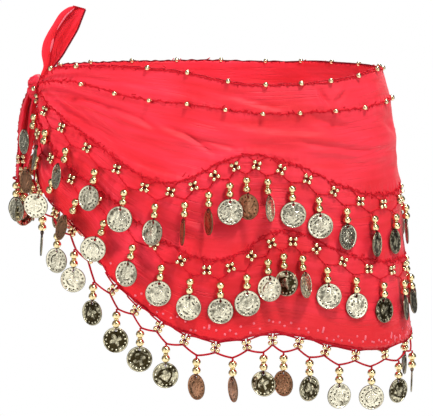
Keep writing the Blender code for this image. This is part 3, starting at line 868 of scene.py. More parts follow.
def bead_patch(radius, tall, hole, sides, steps):
    """A drilled bead: a flattened ball's outside joined to the hole along its axis."""
    start = math.asin(hole / radius)
    turn = np.linspace(start, math.pi - start, steps)
    outside = np.stack([radius * np.sin(turn), tall * np.cos(turn)], axis=-1)
    inside = np.array([(hole * 0.9, outside[-1, 1] * 0.8), (hole * 0.9, outside[0, 1] * 0.8)])
    return lathe(np.concatenate([outside, inside]), sides)


def round_bead(radius):
    """The large bead over a coin."""
    return bead_patch(radius, radius * 0.94, 0.75, 12, 7)


def flower_bead(radius):
    """The small bead of a flower."""
    return bead_patch(radius, radius * 0.92, 0.5, 10, 6)


def coin_patch():
    """A thin coin with a hole near its top, in the XZ plane, its face towards -Y.

    Its rings are circles that slide from the hole's centre to the coin's, then go out over the rim.
    """
    sides = 36
    turn = 2 * math.pi * np.arange(sides) / sides
    hole = 1.0
    inner = 9.45
    shares = np.array([0.0, 0.10, 0.24, 0.38, 0.52, 0.66, 0.80, 0.91, 1.0])
    radius = np.concatenate([hole + (inner - hole) * shares, [9.85, 10.45, COIN_RADIUS]])
    centre = np.concatenate([HOLE_FROM_CENTRE * (1 - shares), [0.0, 0.0, 0.0]])
    thick = np.concatenate([np.full(9, 0.32), [0.58, 0.58, 0.38]])
    x = radius[:, None] * np.cos(turn)
    z = centre[:, None] + radius[:, None] * np.sin(turn)
    r = np.hypot(x, z) / COIN_RADIUS
    a = np.arctan2(z, x)
    field = np.clip((0.62 - r) / 0.1, 0, 1)
    petals = 0.26 * np.abs(np.cos(4 * a)) * field * np.clip(r / 0.2, 0, 1)
    boss = 0.22 * np.clip((0.2 - r) / 0.08, 0, 1)
    dish = 0.18 * np.clip(1 - (r / 0.86) ** 2, 0, 1)
    clear = np.clip((np.hypot(x, z - HOLE_FROM_CENTRE) - 1.4) / 1.2, 0, 1)
    raised = thick[:, None] + (petals + boss + dish) * clear
    front = np.stack([x, -raised, z], axis=-1)
    back = np.stack([x, raised - 2 * dish * clear, z], axis=-1)[::-1]
    points = np.concatenate([front, back])
    faces, _ = grid_faces(len(points), sides, closed_rows=True, closed_columns=True)
    flat = points.reshape(-1, 3)
    places = flat[faces][:, :, (0, 2)] / COIN_RADIUS
    return Patch(flat, faces, places).outwards()


def coins_and_loops(centre, loop_middle, axes, tones):
    """Coins with their axes and tones, and the ring of thread from which each one hangs."""
    turn = 2 * math.pi * np.arange(10) / 10
    ring = np.stack([0 * turn, 1.15 * np.cos(turn), 1.75 * np.sin(turn)], axis=-1)
    path = np.einsum("pa,nab->npb", ring, axes) + loop_middle[:, None, :]
    return [coin_patch().repeat(centre, axes, tones)], [tube(path, 0.42, 5, closed=True)]


def strand_frames(row):
    """Where the dangles of a row hang.

    Gives their entries in the table of coins, a function of the length below the root, and each
    coin's turn, lean and stand-off. A row's dangles lean towards the knot where it rises, and
    stand off the cloth; the hem's hang plumb.
    """
    hem = row == HEM
    unit = np.arange(1.5, 2 * UNITS - 1, 1.0)
    drop = ROOT_DROP + CORD_ROOM / 2
    if hem:
        drop = FRINGE_GAP + CORD_ROOM / 2 + FLOWER_ROOM + CORD_ROOM + NET_DROP + CORD_ROOM / 2
    angle, z = shift(*along(row, unit), 0.0, drop)
    back = unit > UNITS
    entry = COINS[np.where(back, 2 * UNITS - unit, unit).astype(int)]
    sign = np.where(back, -1.0, 1.0)
    lean = np.radians(ROW_LEAN[row]) * np.maximum(0.0, np.cos(np.radians(fold_back(angle)))) * sign
    wobble = np.random.default_rng(40 + row)
    turn = np.radians(entry[:, TURN_COLUMN[row]]) * sign
    turn = turn + np.radians(wobble.uniform(-3.5, 3.5, len(unit)))
    coin_out = 0.0 * turn
    if not hem:
        coin_out = CLOTH_FACE + COIN_OFF_CLOTH + entry[:, PUSH_COLUMN[row]]
        coin_out = coin_out + COIN_RADIUS * np.abs(np.sin(turn))

    def at(length, out):
        here = angle - length * np.sin(lean) / mm_per_degree(angle, z)
        low = z - length * np.cos(lean)
        return ring_point(here, low, out, z if hem else None), outward(here, low)

    return entry, at, turn, lean, coin_out


def dangles(row, bead_radius):
    """Beads, spacers, coins and coin loops of a row."""
    entry, at, turn, lean, coin_out = strand_frames(row)
    bead_out = 0.0 * turn
    if row != HEM:
        bead_out = bead_out + CLOTH_FACE + bead_radius + BEAD_OFF_CLOTH
    wobble = np.random.default_rng(7 + row)
    up = np.array([0.0, 0.0, 1.0])

    def upright(length, out):
        """Axes of a bead: along the strand and square to it."""
        centre, o = at(length, out)
        above, _ = at(length - 2.0, out)
        axis = unit_vector(above - centre)
        first = unit_vector(np.cross(np.broadcast_to(o, axis.shape), axis))
        return centre, np.stack([first, np.cross(axis, first), axis], axis=1)

    bead = round_bead(bead_radius)
    spacer = lathe([(0.7, -0.7), (1.9, -0.55), (2.15, 0.0), (1.9, 0.55), (0.7, 0.7)], 10)
    beads = [
        bead.repeat(*upright(length + wobble.uniform(-0.25, 0.25, len(turn)), bead_out))
        for length in (BEAD_1, BEAD_2)
    ]
    beads.append(spacer.repeat(*upright(SPACER + 0 * turn, bead_out)))

    centre, o = at(COIN_TOP + COIN_RADIUS, coin_out)
    above, _ = at(COIN_TOP + COIN_RADIUS - 4.0, coin_out)
    cos_t, sin_t = np.cos(turn)[:, None], np.sin(turn)[:, None]
    cos_l, sin_l = np.cos(lean)[:, None], np.sin(lean)[:, None]
    side = unit_vector(cos_l * (cos_t * beside(o) - sin_t * o) - sin_l * up)
    rise = above - centre
    rise = unit_vector(rise - (rise * side).sum(axis=-1, keepdims=True) * side)
    face = np.cross(side, rise)
    tip = np.radians(wobble.uniform(-2.5, 2.5, len(turn)))[:, None]
    hang = centre + rise * HOLE_FROM_CENTRE
    rise, face = np.cos(tip) * rise + np.sin(tip) * face, np.cos(tip) * face - np.sin(tip) * rise
    axes = np.stack([side, -face, rise], axis=1)
    # Painted tone of each coin: 0 bright, 1 in painted shade, 2 with a brownish painted reflection.
    tones = entry[:, TONE_COLUMN[row]]
    return beads, *coins_and_loops(hang - rise * HOLE_FROM_CENTRE, hang + rise * LOOP_ABOVE, axes, tones)


def flower_beads(row, bead_radius):
    """Flowers of four small beads round a thread knot, seated on the cloth or on the net."""
    hem = row == HEM
    unit = np.arange(1, 2 * UNITS, 1.0)
    angle, z, slope = along(row, unit)
    wobble = np.random.default_rng(21 + row)
    middle, skew = (FRINGE_GAP + CORD_ROOM + FLOWER_ROOM / 2, 7) if hem else (0.0, 16)
    extra = np.radians(wobble.uniform(-skew, skew, len(unit)))
    base_angle, base_z = shift(angle, z, slope, 0.0, middle)
    bead = flower_bead(bead_radius)
    patches = []
    for across, down in ((-1, -1), (1, -1), (1, 1), (-1, 1)):
        jitter = wobble.uniform(-0.15, 0.15, (2, len(unit)))
        a, d = np.array([[across], [down]]) * (bead_radius * FLOWER_SPREAD) + jitter
        turned_a = a * np.cos(extra) - d * np.sin(extra)
        turned_d = a * np.sin(extra) + d * np.cos(extra)
        here, low = shift(base_angle, base_z, slope, turned_a, turned_d)
        centre = ring_point(here, low, 0.0, z) if hem else on_cloth(here, low, bead_radius * 0.9)
        o = outward(here, z if hem else low)
        lean = slope + extra + (math.pi / 4 if across * down > 0 else -math.pi / 4)
        axis = np.cos(lean)[:, None] * beside(o) + np.sin(lean)[:, None] * np.array([0, 0, 1.0])
        patches.append(bead.repeat(centre, np.stack([np.cross(axis, o), o, axis], axis=1)))
    if hem:
        knots = ring_point(base_angle, base_z, 0.0, z)
    else:
        knots = on_cloth(base_angle, base_z, bead_radius * 0.55)
    plain = np.broadcast_to(np.eye(3), (len(unit), 3, 3))
    return patches, [bead_patch(1.12, 1.05, 0.2, 8, 5).repeat(knots, plain)]


def straight(first, last, steps):
    """Straight paths between points (n, 3)."""
    return between(first, last, np.linspace(0, 1, steps)[None, :, None])


def joined_units(side):
    """Units of the flowers and of the dangles that the cords on one side of the flowers join."""
    unit = np.arange(1, 2 * UNITS, 1.0)
    half = unit + side * 0.5
    keep = (half > LOOSE_END) & (half < 2 * UNITS - LOOSE_END)
    return unit[keep], half[keep]


def net_on_cloth(row, radius):
    """Cords of a row on the cloth: from the crochet line to each flower, and on to the dangles.

    Their depth is a wave along each cord, so that they go in and out of the cloth as stitches.
    """
    unit = np.arange(1, 2 * UNITS, 1.0)
    t = np.linspace(0, 1, 17)[None, :]
    wobble = np.random.default_rng(60 + row)
    links = []
    for side in (-1, 1):
        landing = np.clip(unit + side * LANDING, 1, 2 * UNITS - 1)
        line = shift(*along(row, landing), 0.0, -CROCHET_ABOVE)
        links.append(shift(*along(row, unit), side * FLOWER_SIDE, -FLOWER_FOOT) + line)
        flower, dangle = (along(row, units) for units in joined_units(side))
        links.append(shift(*flower, side * FLOWER_SIDE, FLOWER_FOOT) + shift(*dangle, 0.0, ROOT_DROP))
    patches = []
    for a0, z0, a1, z1 in links:
        bow = np.sin(math.pi * t) * wobble.uniform(0.1, 0.7, (len(a0), 1))
        beat = t * wobble.uniform(14, 20, (len(a0), 1)) + wobble.uniform(0, 6, (len(a0), 1))
        path = on_cloth(between(a0, a1, t), between(z0, z1, t) - bow, 0.15 + 0.42 * np.sin(beat))
        patches.append(tube(path, radius, 6))
    return patches


def hem_net(radius):
    """Cords of the fringe: along the hem, arcs down to each flower, and on to each dangle."""
    patches = []
    for back in (False, True):
        angle = np.linspace(*ends(back), TRIM_STEPS)
        z = height(HEM, angle)
        run = fold_back(angle) * mm_per_degree(angle, z)
        bulge = 0.35 * np.sin(run / 1.5)
        path = ring_point(angle, z - 0.5 + 0.4 * np.sin(run / 2.6), CLOTH_FACE - 0.3)
        patches.append(tube(path[None], 0.85 + bulge * 0.35, 6))
    t = np.linspace(0, 1, 7)[None, :]
    edge_down = FRINGE_GAP + CORD_ROOM / 2
    net_down = edge_down + FLOWER_ROOM + CORD_ROOM
    for side in (-1, 1):
        flower, dangle = (along(HEM, units) for units in joined_units(side))
        (a0, z0), (a1, z1) = shift(*flower, side * 1.6, edge_down + 1.0), shift(*dangle, 0.0, 1.4)
        arc_z = between(z0, z1, t ** 1.4) + 0.4 * np.sin(math.pi * t)
        arc = ring_point(between(a0, a1, t), arc_z, 0.0, flower[1][:, None])
        patches.append(tube(arc, radius * 0.85, 6))
        a0, z0 = shift(*flower, side * 0.8, net_down - 0.6)
        a1, z1 = shift(*dangle, 0.0, net_down + NET_DROP)
        sag_z = between(z0, z1, t) - 0.5 * np.sin(math.pi * t)
        sag = ring_point(between(a0, a1, t), sag_z, 0.0, between(flower[1], dangle[1], t))
        patches.append(tube(sag, radius, 6))
    flower = along(HEM, np.arange(1, 2 * UNITS, 1.0))
    for across in (-1.3, 1.3):
        first = ring_point(*shift(*flower, across, edge_down - 0.4), 0.0, flower[1])
        last = ring_point(*shift(*flower, across * 0.4, net_down), 0.0, flower[1])
        patches.append(tube(straight(first, last, 4), radius * 0.7, 5))
    return patches


def dangle_threads(row, radius):
    """The thread from the net to the first bead of each dangle, and that through its beads."""
    _, at, turn, *_ = strand_frames(row)
    out = bead_out = 0.0 * turn
    if row != HEM:
        out = out + CLOTH_FACE + NET_OFF_CLOTH
        bead_out = out + 2.2
    first, _ = at(-0.9, out)
    second, _ = at(2.0, bead_out)
    last, _ = at(STRAND_END, bead_out)
    strand = tube(straight(second, last, 3), STRAND_RADIUS, 5)
    return [tube(straight(first, second, 4), radius, 6)], [strand]


def stitch_line(angle_from, angle_to, height_at, seed, radius, sway):
    """Thread worked in and out of the cloth along a line.

    Its height sways unevenly about the line and its depth is a wave, so that it shows as dashes.
    """
    angle = np.linspace(angle_from, angle_to, STITCH_STEPS)
    scale = mm_per_degree(angle, height_at(angle))
    run = np.concatenate([[0], np.cumsum(np.abs(np.diff(angle)) * (scale[1:] + scale[:-1]) / 2)])
    wobble = np.random.default_rng(seed)
    knots = np.arange(0, run[-1] + 6, 2.3)
    up = smooth(run, knots, wobble.normal(0, sway, len(knots)))
    pace = np.cumsum(wobble.uniform(0.75, 1.35, len(knots)))
    beat = smooth(run, knots, pace)
    out = 0.15 + 0.55 * np.sin(2 * math.pi * beat * 0.62)
    path = on_cloth(angle, height_at(angle) + up, out)
    return tube(path[None], radius, 5)


def short_stitches(angle, z, long, slant, out, arch, radius, sides):
    """Short threads on the cloth, each at its own slant, bent inwards at the ends by arch mm."""
    t = np.linspace(-1, 1, 4)[None, :]
    paths = on_cloth(
        angle[:, None] + t * (long * np.cos(slant) / mm_per_degree(angle, z))[:, None],
        z[:, None] + t * (long * np.sin(slant))[:, None],
        out - arch * t ** 2,
    )
    return tube(paths, radius, sides)


def picots(angle_from, angle_to, height_at, seed, spacing):
    """Loose stitches beside a line, at uneven places and slants."""
    wobble = np.random.default_rng(seed)
    span = abs(angle_to - angle_from) * float(mm_per_degree((angle_from + angle_to) / 2, -60.0))
    count = int(span / spacing)
    angle = np.linspace(angle_from, angle_to, count) + wobble.uniform(-1.0, 1.0, count)
    angle = np.clip(angle, min(angle_from, angle_to) + 1, max(angle_from, angle_to) - 1)
    z = height_at(angle) + wobble.normal(0, 1.3, count)
    slant = wobble.uniform(-1.2, 1.2, count)
    return short_stitches(angle, z, wobble.uniform(0.8, 2.2, count), slant, 0.45, 0.6, 0.45, 5)


def hem_stitches(back, seed):
    """Pale uneven stitches that hold the hem: short dashes and dots in a loose band above it."""
    wobble = np.random.default_rng(seed)
    count = HEM_STITCHES
    first, last = HEM_STITCHED
    near = first + (last - first) * ((np.arange(count) + wobble.uniform(-0.4, 0.4, count)) / count)
    angle = TURN - near if back else near
    z = height(HEM, angle) + (3.0 + 8.0 * wobble.uniform(0, 1, count) ** 1.3)
    long = np.where(wobble.uniform(0, 1, count) < 0.74, 0.5, wobble.uniform(1.4, 3.2, count))
    return short_stitches(angle, z, long, wobble.uniform(1.1, 2.0, count), -0.35, 0.2, 1.05, 8)


def top_roll(angle_from, angle_to):
    """The rolled top edge: a cord along it whose height and thickness vary as waves."""
    angle = np.linspace(angle_from, angle_to, TRIM_STEPS)
    run = fold_back(angle) * mm_per_degree(angle, 0.0)
    path = on_cloth(angle, height(TOP_FRONT, angle) + 0.3 * np.sin(run / 2.1), -0.35)
    return tube(path[None], 0.62 + 0.14 * np.sin(run / 1.3), 6)


def ends(back):
    """First and last angle of a stretch's trims."""
    at_knot, at_hip = TRIM_ENDS
    return (TURN - at_knot, MIDDLE + at_hip) if back else (at_knot, MIDDLE - at_hip)


def cloth_stretch(back, wall, columns, rows):
    """One stretch of the scarf: a thin wall on the hip ring, moved out by its folds.

    A point is the ring's point at its angle, at a share of the way from the top edge to the hem.
    """
    angle = MIDDLE * np.linspace(0, 1, columns)
    angle[-1] -= math.degrees(HIP_GAP / HALF_DEPTH)
    share = np.linspace(0, 1, rows) ** 0.97
    angle = np.repeat(angle[:, None], rows, axis=1)
    top = height(TOP_FRONT, TURN - angle if back else angle)
    top[0] = height(TOP_FRONT, 0.0)
    z = top + (height(HEM, TURN - angle if back else angle) - top) * share
    first, last = CLOTH_START
    angle = angle + (first + (last - first) * share ** 2) * np.clip(1 - angle / 10, 0, 1)
    if back:
        angle = TURN - angle
    scallop = 0.55 * np.sin(fold_back(angle) * mm_per_degree(angle, z) / 2.6)
    z = z + scallop * share ** 40
    out = cloth_out(angle, z)
    outer = ring_point(angle, z, out + CLOTH_FACE)
    inner = ring_point(angle, z, out + CLOTH_FACE - wall)
    run = np.cumsum(np.linalg.norm(np.diff(outer[:, :1], axis=0, prepend=outer[:1, :1]), axis=-1), axis=0)
    return shell(outer, inner, run * MM, -CUT_HEIGHT * share + 0 * z)


def knot_cloth():
    """The knot: a dome of rolled folds over the meeting ends.

    A square grid is pulled into a disc; its reach is a rounded dome less a groove across it, with
    ripples that run beside the groove and gather towards the pinch in front.
    """
    steps = np.linspace(-1, 1, 61)
    s, t = np.meshgrid(steps, steps, indexing="ij")
    across = s * np.sqrt(1 - t ** 2 / 2)
    up = t * np.sqrt(1 - s ** 2 / 2)
    radius = np.clip(across ** 2 + up ** 2, 0, 1)
    angle = KNOT_HALF_LONG * across / mm_per_degree(0.0, KNOT_HEIGHT)
    z = KNOT_HEIGHT + KNOT_HALF_TALL * up
    slant = across - up + 0.22 * np.sin(2.4 * up + 0.6)
    groove = 3.2 * np.exp(-(slant / 0.15) ** 2)
    second = 2.2 * np.exp(-((slant - 0.72) / 0.13) ** 2) + 2.0 * np.exp(-((slant + 0.66) / 0.12) ** 2)
    ripple = 0.70 * np.sin(11.0 * slant + 1.4 * across) + 0.30 * np.sin(19.0 * slant + 3.0 * up)
    dome = np.sqrt(1 - (1 - KNOT_RIM ** 2) * radius ** 1.5)
    turn = np.arctan2(up - 0.1, across - 0.75)
    apart = np.hypot(up - 0.1, across - 0.75)
    gathers = (0.9 * np.sin(9 * turn + 0.8) + 0.4 * np.sin(17 * turn)) * np.exp(-(apart / 0.8) ** 2)
    gathers = gathers - 2.2 * np.exp(-(apart / 0.28) ** 2)
    reach = KNOT_REACH * dome - (groove + second - ripple - gathers) * dome
    inside = CLOTH_FACE + KNOT_GAP
    outer = ring_point(angle, z, inside + np.maximum(reach, 0.6))
    inner = ring_point(angle, z, inside + 0 * z)
    return shell(outer, inner, across * KNOT_HALF_LONG * MM, z * MM)


def standing_section(rows, columns):
    """Grid of the standing tail's middle surface.

    Each row is the section's line laid between the left and right edges; the strip folded over
    the left edge is scaled to that row's reach. Long ripples run up the cloth.
    """
    t = np.linspace(0, 1, rows)
    marks = np.linspace(0, 1, len(STANDING))
    left_x, left_z, right_x, right_z, reach = (
        smooth(t, marks, STANDING[:, i])[:, None] for i in range(5)
    )
    share = np.linspace(0, 1, columns)[None, :]
    across, back = read(STANDING_SECTION, 1, share), read(STANDING_SECTION, 2, share)
    across = np.where((share < FLAP_END) & (across > 0), across * reach, across)
    t = t[:, None]
    ripple = 0.40 * np.sin(across * 9 + t * 5) + 0.25 * np.sin(across * 21 - t * 9 + 1.0)
    body = np.clip((share - FLAP_END) / 0.1, 0, 1)
    flap = 1 - body
    gather = 1 + 0.5 * np.exp(-t / 0.12)
    y = back * gather + ripple * (0.6 + 0.9 * body) - 0.9 * flap * np.sin(math.pi * t) ** 2
    y = y + 1.4 * body * np.sin(math.pi * across) * np.sin(2.2 * t + 0.4)
    x = left_x + (right_x - left_x) * across
    z = left_z + (right_z - left_z) * across
    return np.stack([x, y, z], axis=-1)


def hanging_section(rows, columns):
    """Grid of the hanging tail's middle surface: pleats of cosine waves across a narrowing strip."""
    z = np.linspace(HANGING[0, 0], HANGING[-1, 0], rows)
    off, width, depth = (read(HANGING[::-1], i, z) for i in (1, 2, 3))
    middle_x = -(half_axes(z)[0] + CLOTH_FACE + off + width / 2)
    across = np.linspace(-1, 1, columns)[None, :]
    tie = np.exp(-((z + 95.0) / 5.0) ** 2)[:, None]
    half = width[:, None] / 2 * across * (1 - 0.16 * tie)
    phase = 0.35 * np.sin(z / 9.0)[:, None]
    wave = depth[:, None] * (1 - 0.2 * tie) * np.cos(2 * math.pi * across + phase)
    wave = wave + 0.45 * np.sin(7.3 * across + z[:, None] / 6.0) + 0.3 * np.sin(13 * across - z[:, None] / 4)
    lengthwise = unit_vector(np.gradient(np.stack([middle_x, z], axis=-1), axis=0))
    return np.stack([
        middle_x[:, None] - half * lengthwise[:, 1:],
        wave,
        z[:, None] + half * lengthwise[:, :1],
    ], axis=-1)


def thin_wall(middle, wall):
    """A closed thin wall on both sides of a grid: the middle moved along its own normals."""
    down = np.gradient(middle, axis=0)
    side = np.gradient(middle, axis=1)
    normal = unit_vector(np.cross(side, down))
    run = np.linalg.norm(side, axis=-1).cumsum(axis=1) * MM
    rise = np.linalg.norm(down, axis=-1).cumsum(axis=0) * MM
    return shell(middle + normal * wall / 2, middle - normal * wall / 2, rise, run)


def length(name, description, default, least, most):
    """A setting of a length in metres."""
    return FloatProperty(
        name=name, description=description, default=default, min=least, max=most,
        unit="LENGTH", precision=5,
    )


def colour(name, description, *rgb):
    """A setting of a colour."""
    return FloatVectorProperty(
        name=name, description=description, subtype="COLOR", size=4, default=rgb + (1.0,),
        min=0.0, max=1.0,
    )


class ScarfSizes(bpy.types.PropertyGroup):
    """Sizes of the scarf's small parts."""

    wall: length("Cloth wall", "Thickness of the cloth", 0.0007, 0.0003, 0.0015)
    bead: length("Bead radius", "Radius of the round beads over each coin", 0.0036, 0.002, 0.005)
    flower_bead: length(
        "Flower bead radius", "Radius of the four beads of a flower", 0.00205, 0.001, 0.003)
    edge_bead: length("Edge bead radius", "Radius of the beads along the top", 0.0023, 0.001, 0.004)
    net_cord: length(
        "Net cord radius", "Radius of the cords of the hem's net", 0.00085, 0.0004, 0.0015)
    row_cord: length(
        "Row cord radius", "Radius of the cords that lie on the cloth", 0.00056, 0.0003, 0.001)
    columns: IntProperty(
        name="Cloth columns", description="Columns of the grid of each stretch",
        default=236, min=40, max=400,
    )
    rows: IntProperty(
        name="Cloth rows", description="Rows of the grid of each stretch",
        default=104, min=20, max=200,
    )


class ScarfColours(bpy.types.PropertyGroup):
    """Colours of the scarf's materials."""

    chiffon: colour("Chiffon", "The cloth", 0.88, 0.022, 0.042)
    # Painted shade: a darker, redder copy of the chiffon for the standing tail.
    gathered: colour("Gathered chiffon", "The cloth of the standing tail", 0.88, 0.016, 0.030)
    # Painted shade: a darker copy of the chiffon for the knot and the hanging tail.
    bunched: colour(
        "Bunched chiffon", "The cloth of the knot and the hanging tail", 0.70, 0.012, 0.030)
    cord: colour("Cord", "The hem's net and the front's rolled edge", 0.50, 0.007, 0.018)
    thread: colour("Crochet thread", "The thread worked through the cloth", 0.70, 0.013, 0.026)
    # Painted shade: a near-black thread for the flower knots, the coin loops and the strands, standing for
    # the shade between the beads and at the coins' holes.
    knots: colour("Bead knots", "The painted_shade thread at the beads and coins", 0.095, 0.012, 0.012)
    # Painted shade: a dark thread along the standing tail's right edge and the back's rolled top edge.
    shaded: colour("Shaded thread", "The tail's hem and the back's rolled edge", 0.20, 0.006, 0.014)
    # Along the standing tail's folded strip this pale thread is partly a pale selvedge and partly a painted
    # highlight.
    pale_thread: colour("Pale thread", "The tail's edge and the hem's stitches", 0.93, 0.19, 0.24)
    bead: colour("Round beads", "The beads over coins, and the hem's flowers", 0.82, 0.67, 0.37)
    pale_bead: colour("Small beads", "The rows' flowers and the edge beads", 0.82, 0.70, 0.42)
    coin: colour("Coins", "The coins where they are bright", 0.80, 0.755, 0.59)
    # Painted shade: the dark colour of the coins' hollows, dots and rim edge.
    coin_painted_shade: colour("Coin hollows", "The coins in their hollows", 0.040, 0.030, 0.012)


def sizes():
    """The scarf's sizes."""
    return bpy.context.scene.scarf_sizes


def colours():
    """The scarf's colours."""
    return bpy.context.scene.scarf_colours


# Finishes, by the name of their colour: the material's name, its maker, and what that is given.
FINISHES = {
    "chiffon": ("drawn_chiffon", chiffon, 0.6),
    # The tails' and the knot's copies paint their streaks of fold shade more strongly.
    "gathered": ("gathered_chiffon", chiffon, 1.7),
    "bunched": ("bunched_chiffon", chiffon, 1.7),
    "cord": ("net_cord", crochet_thread, 0.0016),
    "thread": ("crochet_thread", crochet_thread, 0.0010),
    "knots": ("waxed_thread", crochet_thread, 0.0008),
    "shaded": ("hem_thread", crochet_thread, 0.0012),
    "pale_thread": ("pale_thread", crochet_thread, 0.0012),
    "bead": ("gilt_bead", gilt_bead, 0.12),
    "pale_bead": ("pale_bead", gilt_bead, 0.17),
    "coin": ("stamped_coin", stamped_coin),
}


def material(finish):
    """The material of a finish, made when it is first asked for."""
    name, build, *given = FINISHES[finish]
    return bpy.data.materials.get(name) or build(name, getattr(colours(), finish), *given)


def make_set(name, beads, flowers, coins, cords, knots, flower_finish, cord_finish):
    """The five pieces of a row of coins, which stand for the row's node."""
    for part, patches, finish, slot in (
        ("beads", beads, "bead", "gilt"),
        ("flowers", flowers, flower_finish, "gilt"),
        ("coins", coins, "coin", "gilt"),
        ("cords", cords, cord_finish, "net_cord"),
        # Knots, loops and strands are in the near-black thread of painted shade.
        ("knots", knots, "knots", "net_cord"),
    ):
        make(f"{name}_{part}", patches, finish, (name,))


def make_row(name, row, net, root_radius, flower_finish, cord_finish):
    """A row's beads, flowers, coins and threads, with the cords of its net."""
    size = sizes()
    beads, coins, loops = dangles(row, size.bead / MM)
    flowers, knots = flower_beads(row, size.flower_bead / MM)
    roots, strands = dangle_threads(row, root_radius)
    knots = loops + knots + strands
    make_set(name, beads, flowers, coins, net + roots, knots, flower_finish, cord_finish)


class SCARF_OT_cloth(bpy.types.Operator):
    """Make the two stretches of cloth"""

    bl_idname = "scarf.cloth"
    bl_label = "Cloth stretches"

    def execute(self, context):
        size = sizes()
        for back, side in ((False, "front"), (True, "back")):
            patch = cloth_stretch(back, size.wall / MM, size.columns, size.rows)
            piece = make(side + "_cloth", [patch], "chiffon", (side + "_stretch",))
        return {"FINISHED"}


class SCARF_OT_row(bpy.types.Operator):
    """Make the two rows of flowers and coins on the cloth"""

    bl_idname = "scarf.coin_rows"
    bl_label = "Coin rows"

    def execute(self, context):
        for row, name in ((UPPER, "upper_coin_row"), (LOWER, "lower_coin_row")):
            make_row(name, row, net_on_cloth(row, sizes().row_cord / MM), 0.6, "pale_bead", "thread")
        return {"FINISHED"}


class SCARF_OT_fringe(bpy.types.Operator):
    """Make the hem's net of cord, flowers and coins"""

    bl_idname = "scarf.hem_fringe"
    bl_label = "Hem fringe"

    def execute(self, context):
        radius = sizes().net_cord / MM
        make_row("hem_fringe", HEM, hem_net(radius), radius, "bead", "cord")
        return {"FINISHED"}


class SCARF_OT_knot(bpy.types.Operator):
    """Make the knot and its two tails"""

    bl_idname = "scarf.knot_and_tails"
    bl_label = "Knot and tails"

    def execute(self, context):
        wall = sizes().wall / MM
        # The knot and the hanging tail use the darker copy of the chiffon, which paints their shade.
        make("knot_cloth", [knot_cloth()], "bunched", ("knot",))
        grid = standing_section(90, 64)
        cloth = [thin_wall(grid, wall)]
        piece = make("standing_tail_cloth", cloth, "gathered", ("standing_tail",))
        # A pale thread along the free edge of the folded strip: partly its selvedge, partly a painted
        # highlight along the fold.
        pale = []
        for first, last in ((32, 47), (56, 85)):
            path = grid[None, first:last, 0] + (-0.3, -0.5, 0.0)
            pale.append(tube(path, np.sin(math.pi * np.linspace(0.12, 0.88, last - first))[None] * 1.05, 6))
        make("tail_edge_thread", pale, "pale_thread")
        right = grid[::2, 60] + (0.3, -0.9, 0.0)
        under = grid[::2, 0] + (0.7, -0.1, 0.0)
        end = grid[-1, ::3] + (0, -0.3, 0.2)
        sewn = [tube(path[None], 0.6, 6) for path in (under, end)]
        # A dark thread along the tail's right edge: painted shade.
        make("tail_dark_edge", [tube(right[None], 0.85, 6)], "shaded")
        grid = hanging_section(90, 72)
        cloth = [thin_wall(grid, wall)]
        piece = make("hanging_tail_cloth", cloth, "bunched", ("hanging_tail",))
        wobble = np.random.default_rng(77)
        for column in (0, -1):
            path = grid[:, column] + wobble.normal(0, 0.35, (len(grid), 3))
            sewn.append(tube(path[None], 0.5, 5))
        make("tail_crochet", sewn, "cord")
        return {"FINISHED"}


class SCARF_OT_tail_coins(bpy.types.Operator):
    """Make the cord tied round the hanging tail, with its flowers and coins"""

    bl_idname = "scarf.tail_coins"
    bl_label = "Tail coins"

    def execute(self, context):
        size = sizes()
        points = np.array([p[:3] for p in TAIL_TIE])
        holds = np.array([p[3] for p in TAIL_TIE])
        courses = unit_vector(np.gradient(points, axis=0) * (1, 1, 0))[holds]
        roots = points[holds] - (0, 0, CORD_ROOM / 2)
        t = np.linspace(0, len(points) - 1, 50)
        path = np.stack([smooth(t, np.arange(len(points)), points[:, i]) for i in range(3)], axis=-1)
        out = -beside(courses)
        from_middle = roots * (1, 1, 0) - (-168.0, 0, 0)
        out = out * np.where((from_middle * out).sum(axis=-1) < 0, -1, 1)[:, None]
        up = np.broadcast_to((0.0, 0.0, 1.0), out.shape)
        plain = np.stack([np.cross(out, up), out, up], axis=1)
        bead = round_bead(size.bead / MM)
        beads = [bead.repeat(roots - up * length, plain) for length in (BEAD_1, BEAD_2)]
        turn = np.radians([28.0, -34.0, 24.0, -20.0])[:, None]
        side = np.cos(turn) * plain[:, 0] + np.sin(turn) * out
        axes = np.stack([side, -np.cross(side, up), up], axis=1)
        centre = roots - up * (COIN_TOP + COIN_RADIUS)
        loop_middle = centre + up * (HOLE_FROM_CENTRE + LOOP_ABOVE)
        # Tones of the four coins: one bright, three in painted shade.
        coins, loops = coins_and_loops(centre, loop_middle, axes, (1, 0, 1, 1))
        threads = tube(straight(roots + up * 0.9, roots - up * STRAND_END, 5), STRAND_RADIUS, 5)
        small = size.flower_bead / MM
        ball = flower_bead(small)
        knot = bead_patch(1.3, 1.2, 0.2, 8, 5)
        frames = np.broadcast_to(np.array([(1.0, 0, 0), (0, 0, 1.0), (0, -1.0, 0)]), (4, 3, 3))
        flowers, knots = [], []
        for x, z, y in ((-168.2, -75.8, -5.6), (-166.0, -86.4, -5.2), (-168.6, -80.2, 5.8)):
            sign = -1.0 if y < 0 else 1.0
            spots = np.array([
                (x + a * small * FLOWER_SPREAD, y + sign * 0.6, z + b * small * FLOWER_SPREAD)
                for a in (-1, 1) for b in (-1, 1)
            ])
            flowers.append(ball.repeat(spots, frames))
            knots.append(knot.repeat(np.array([(x, y - sign * 0.2, z)]), np.eye(3)[None]))
        cords = [tube(path[None], size.net_cord / MM, 6), threads]
        make_set("tail_coins", beads, flowers, coins, cords, loops + knots, "pale_bead", "cord")
        return {"FINISHED"}


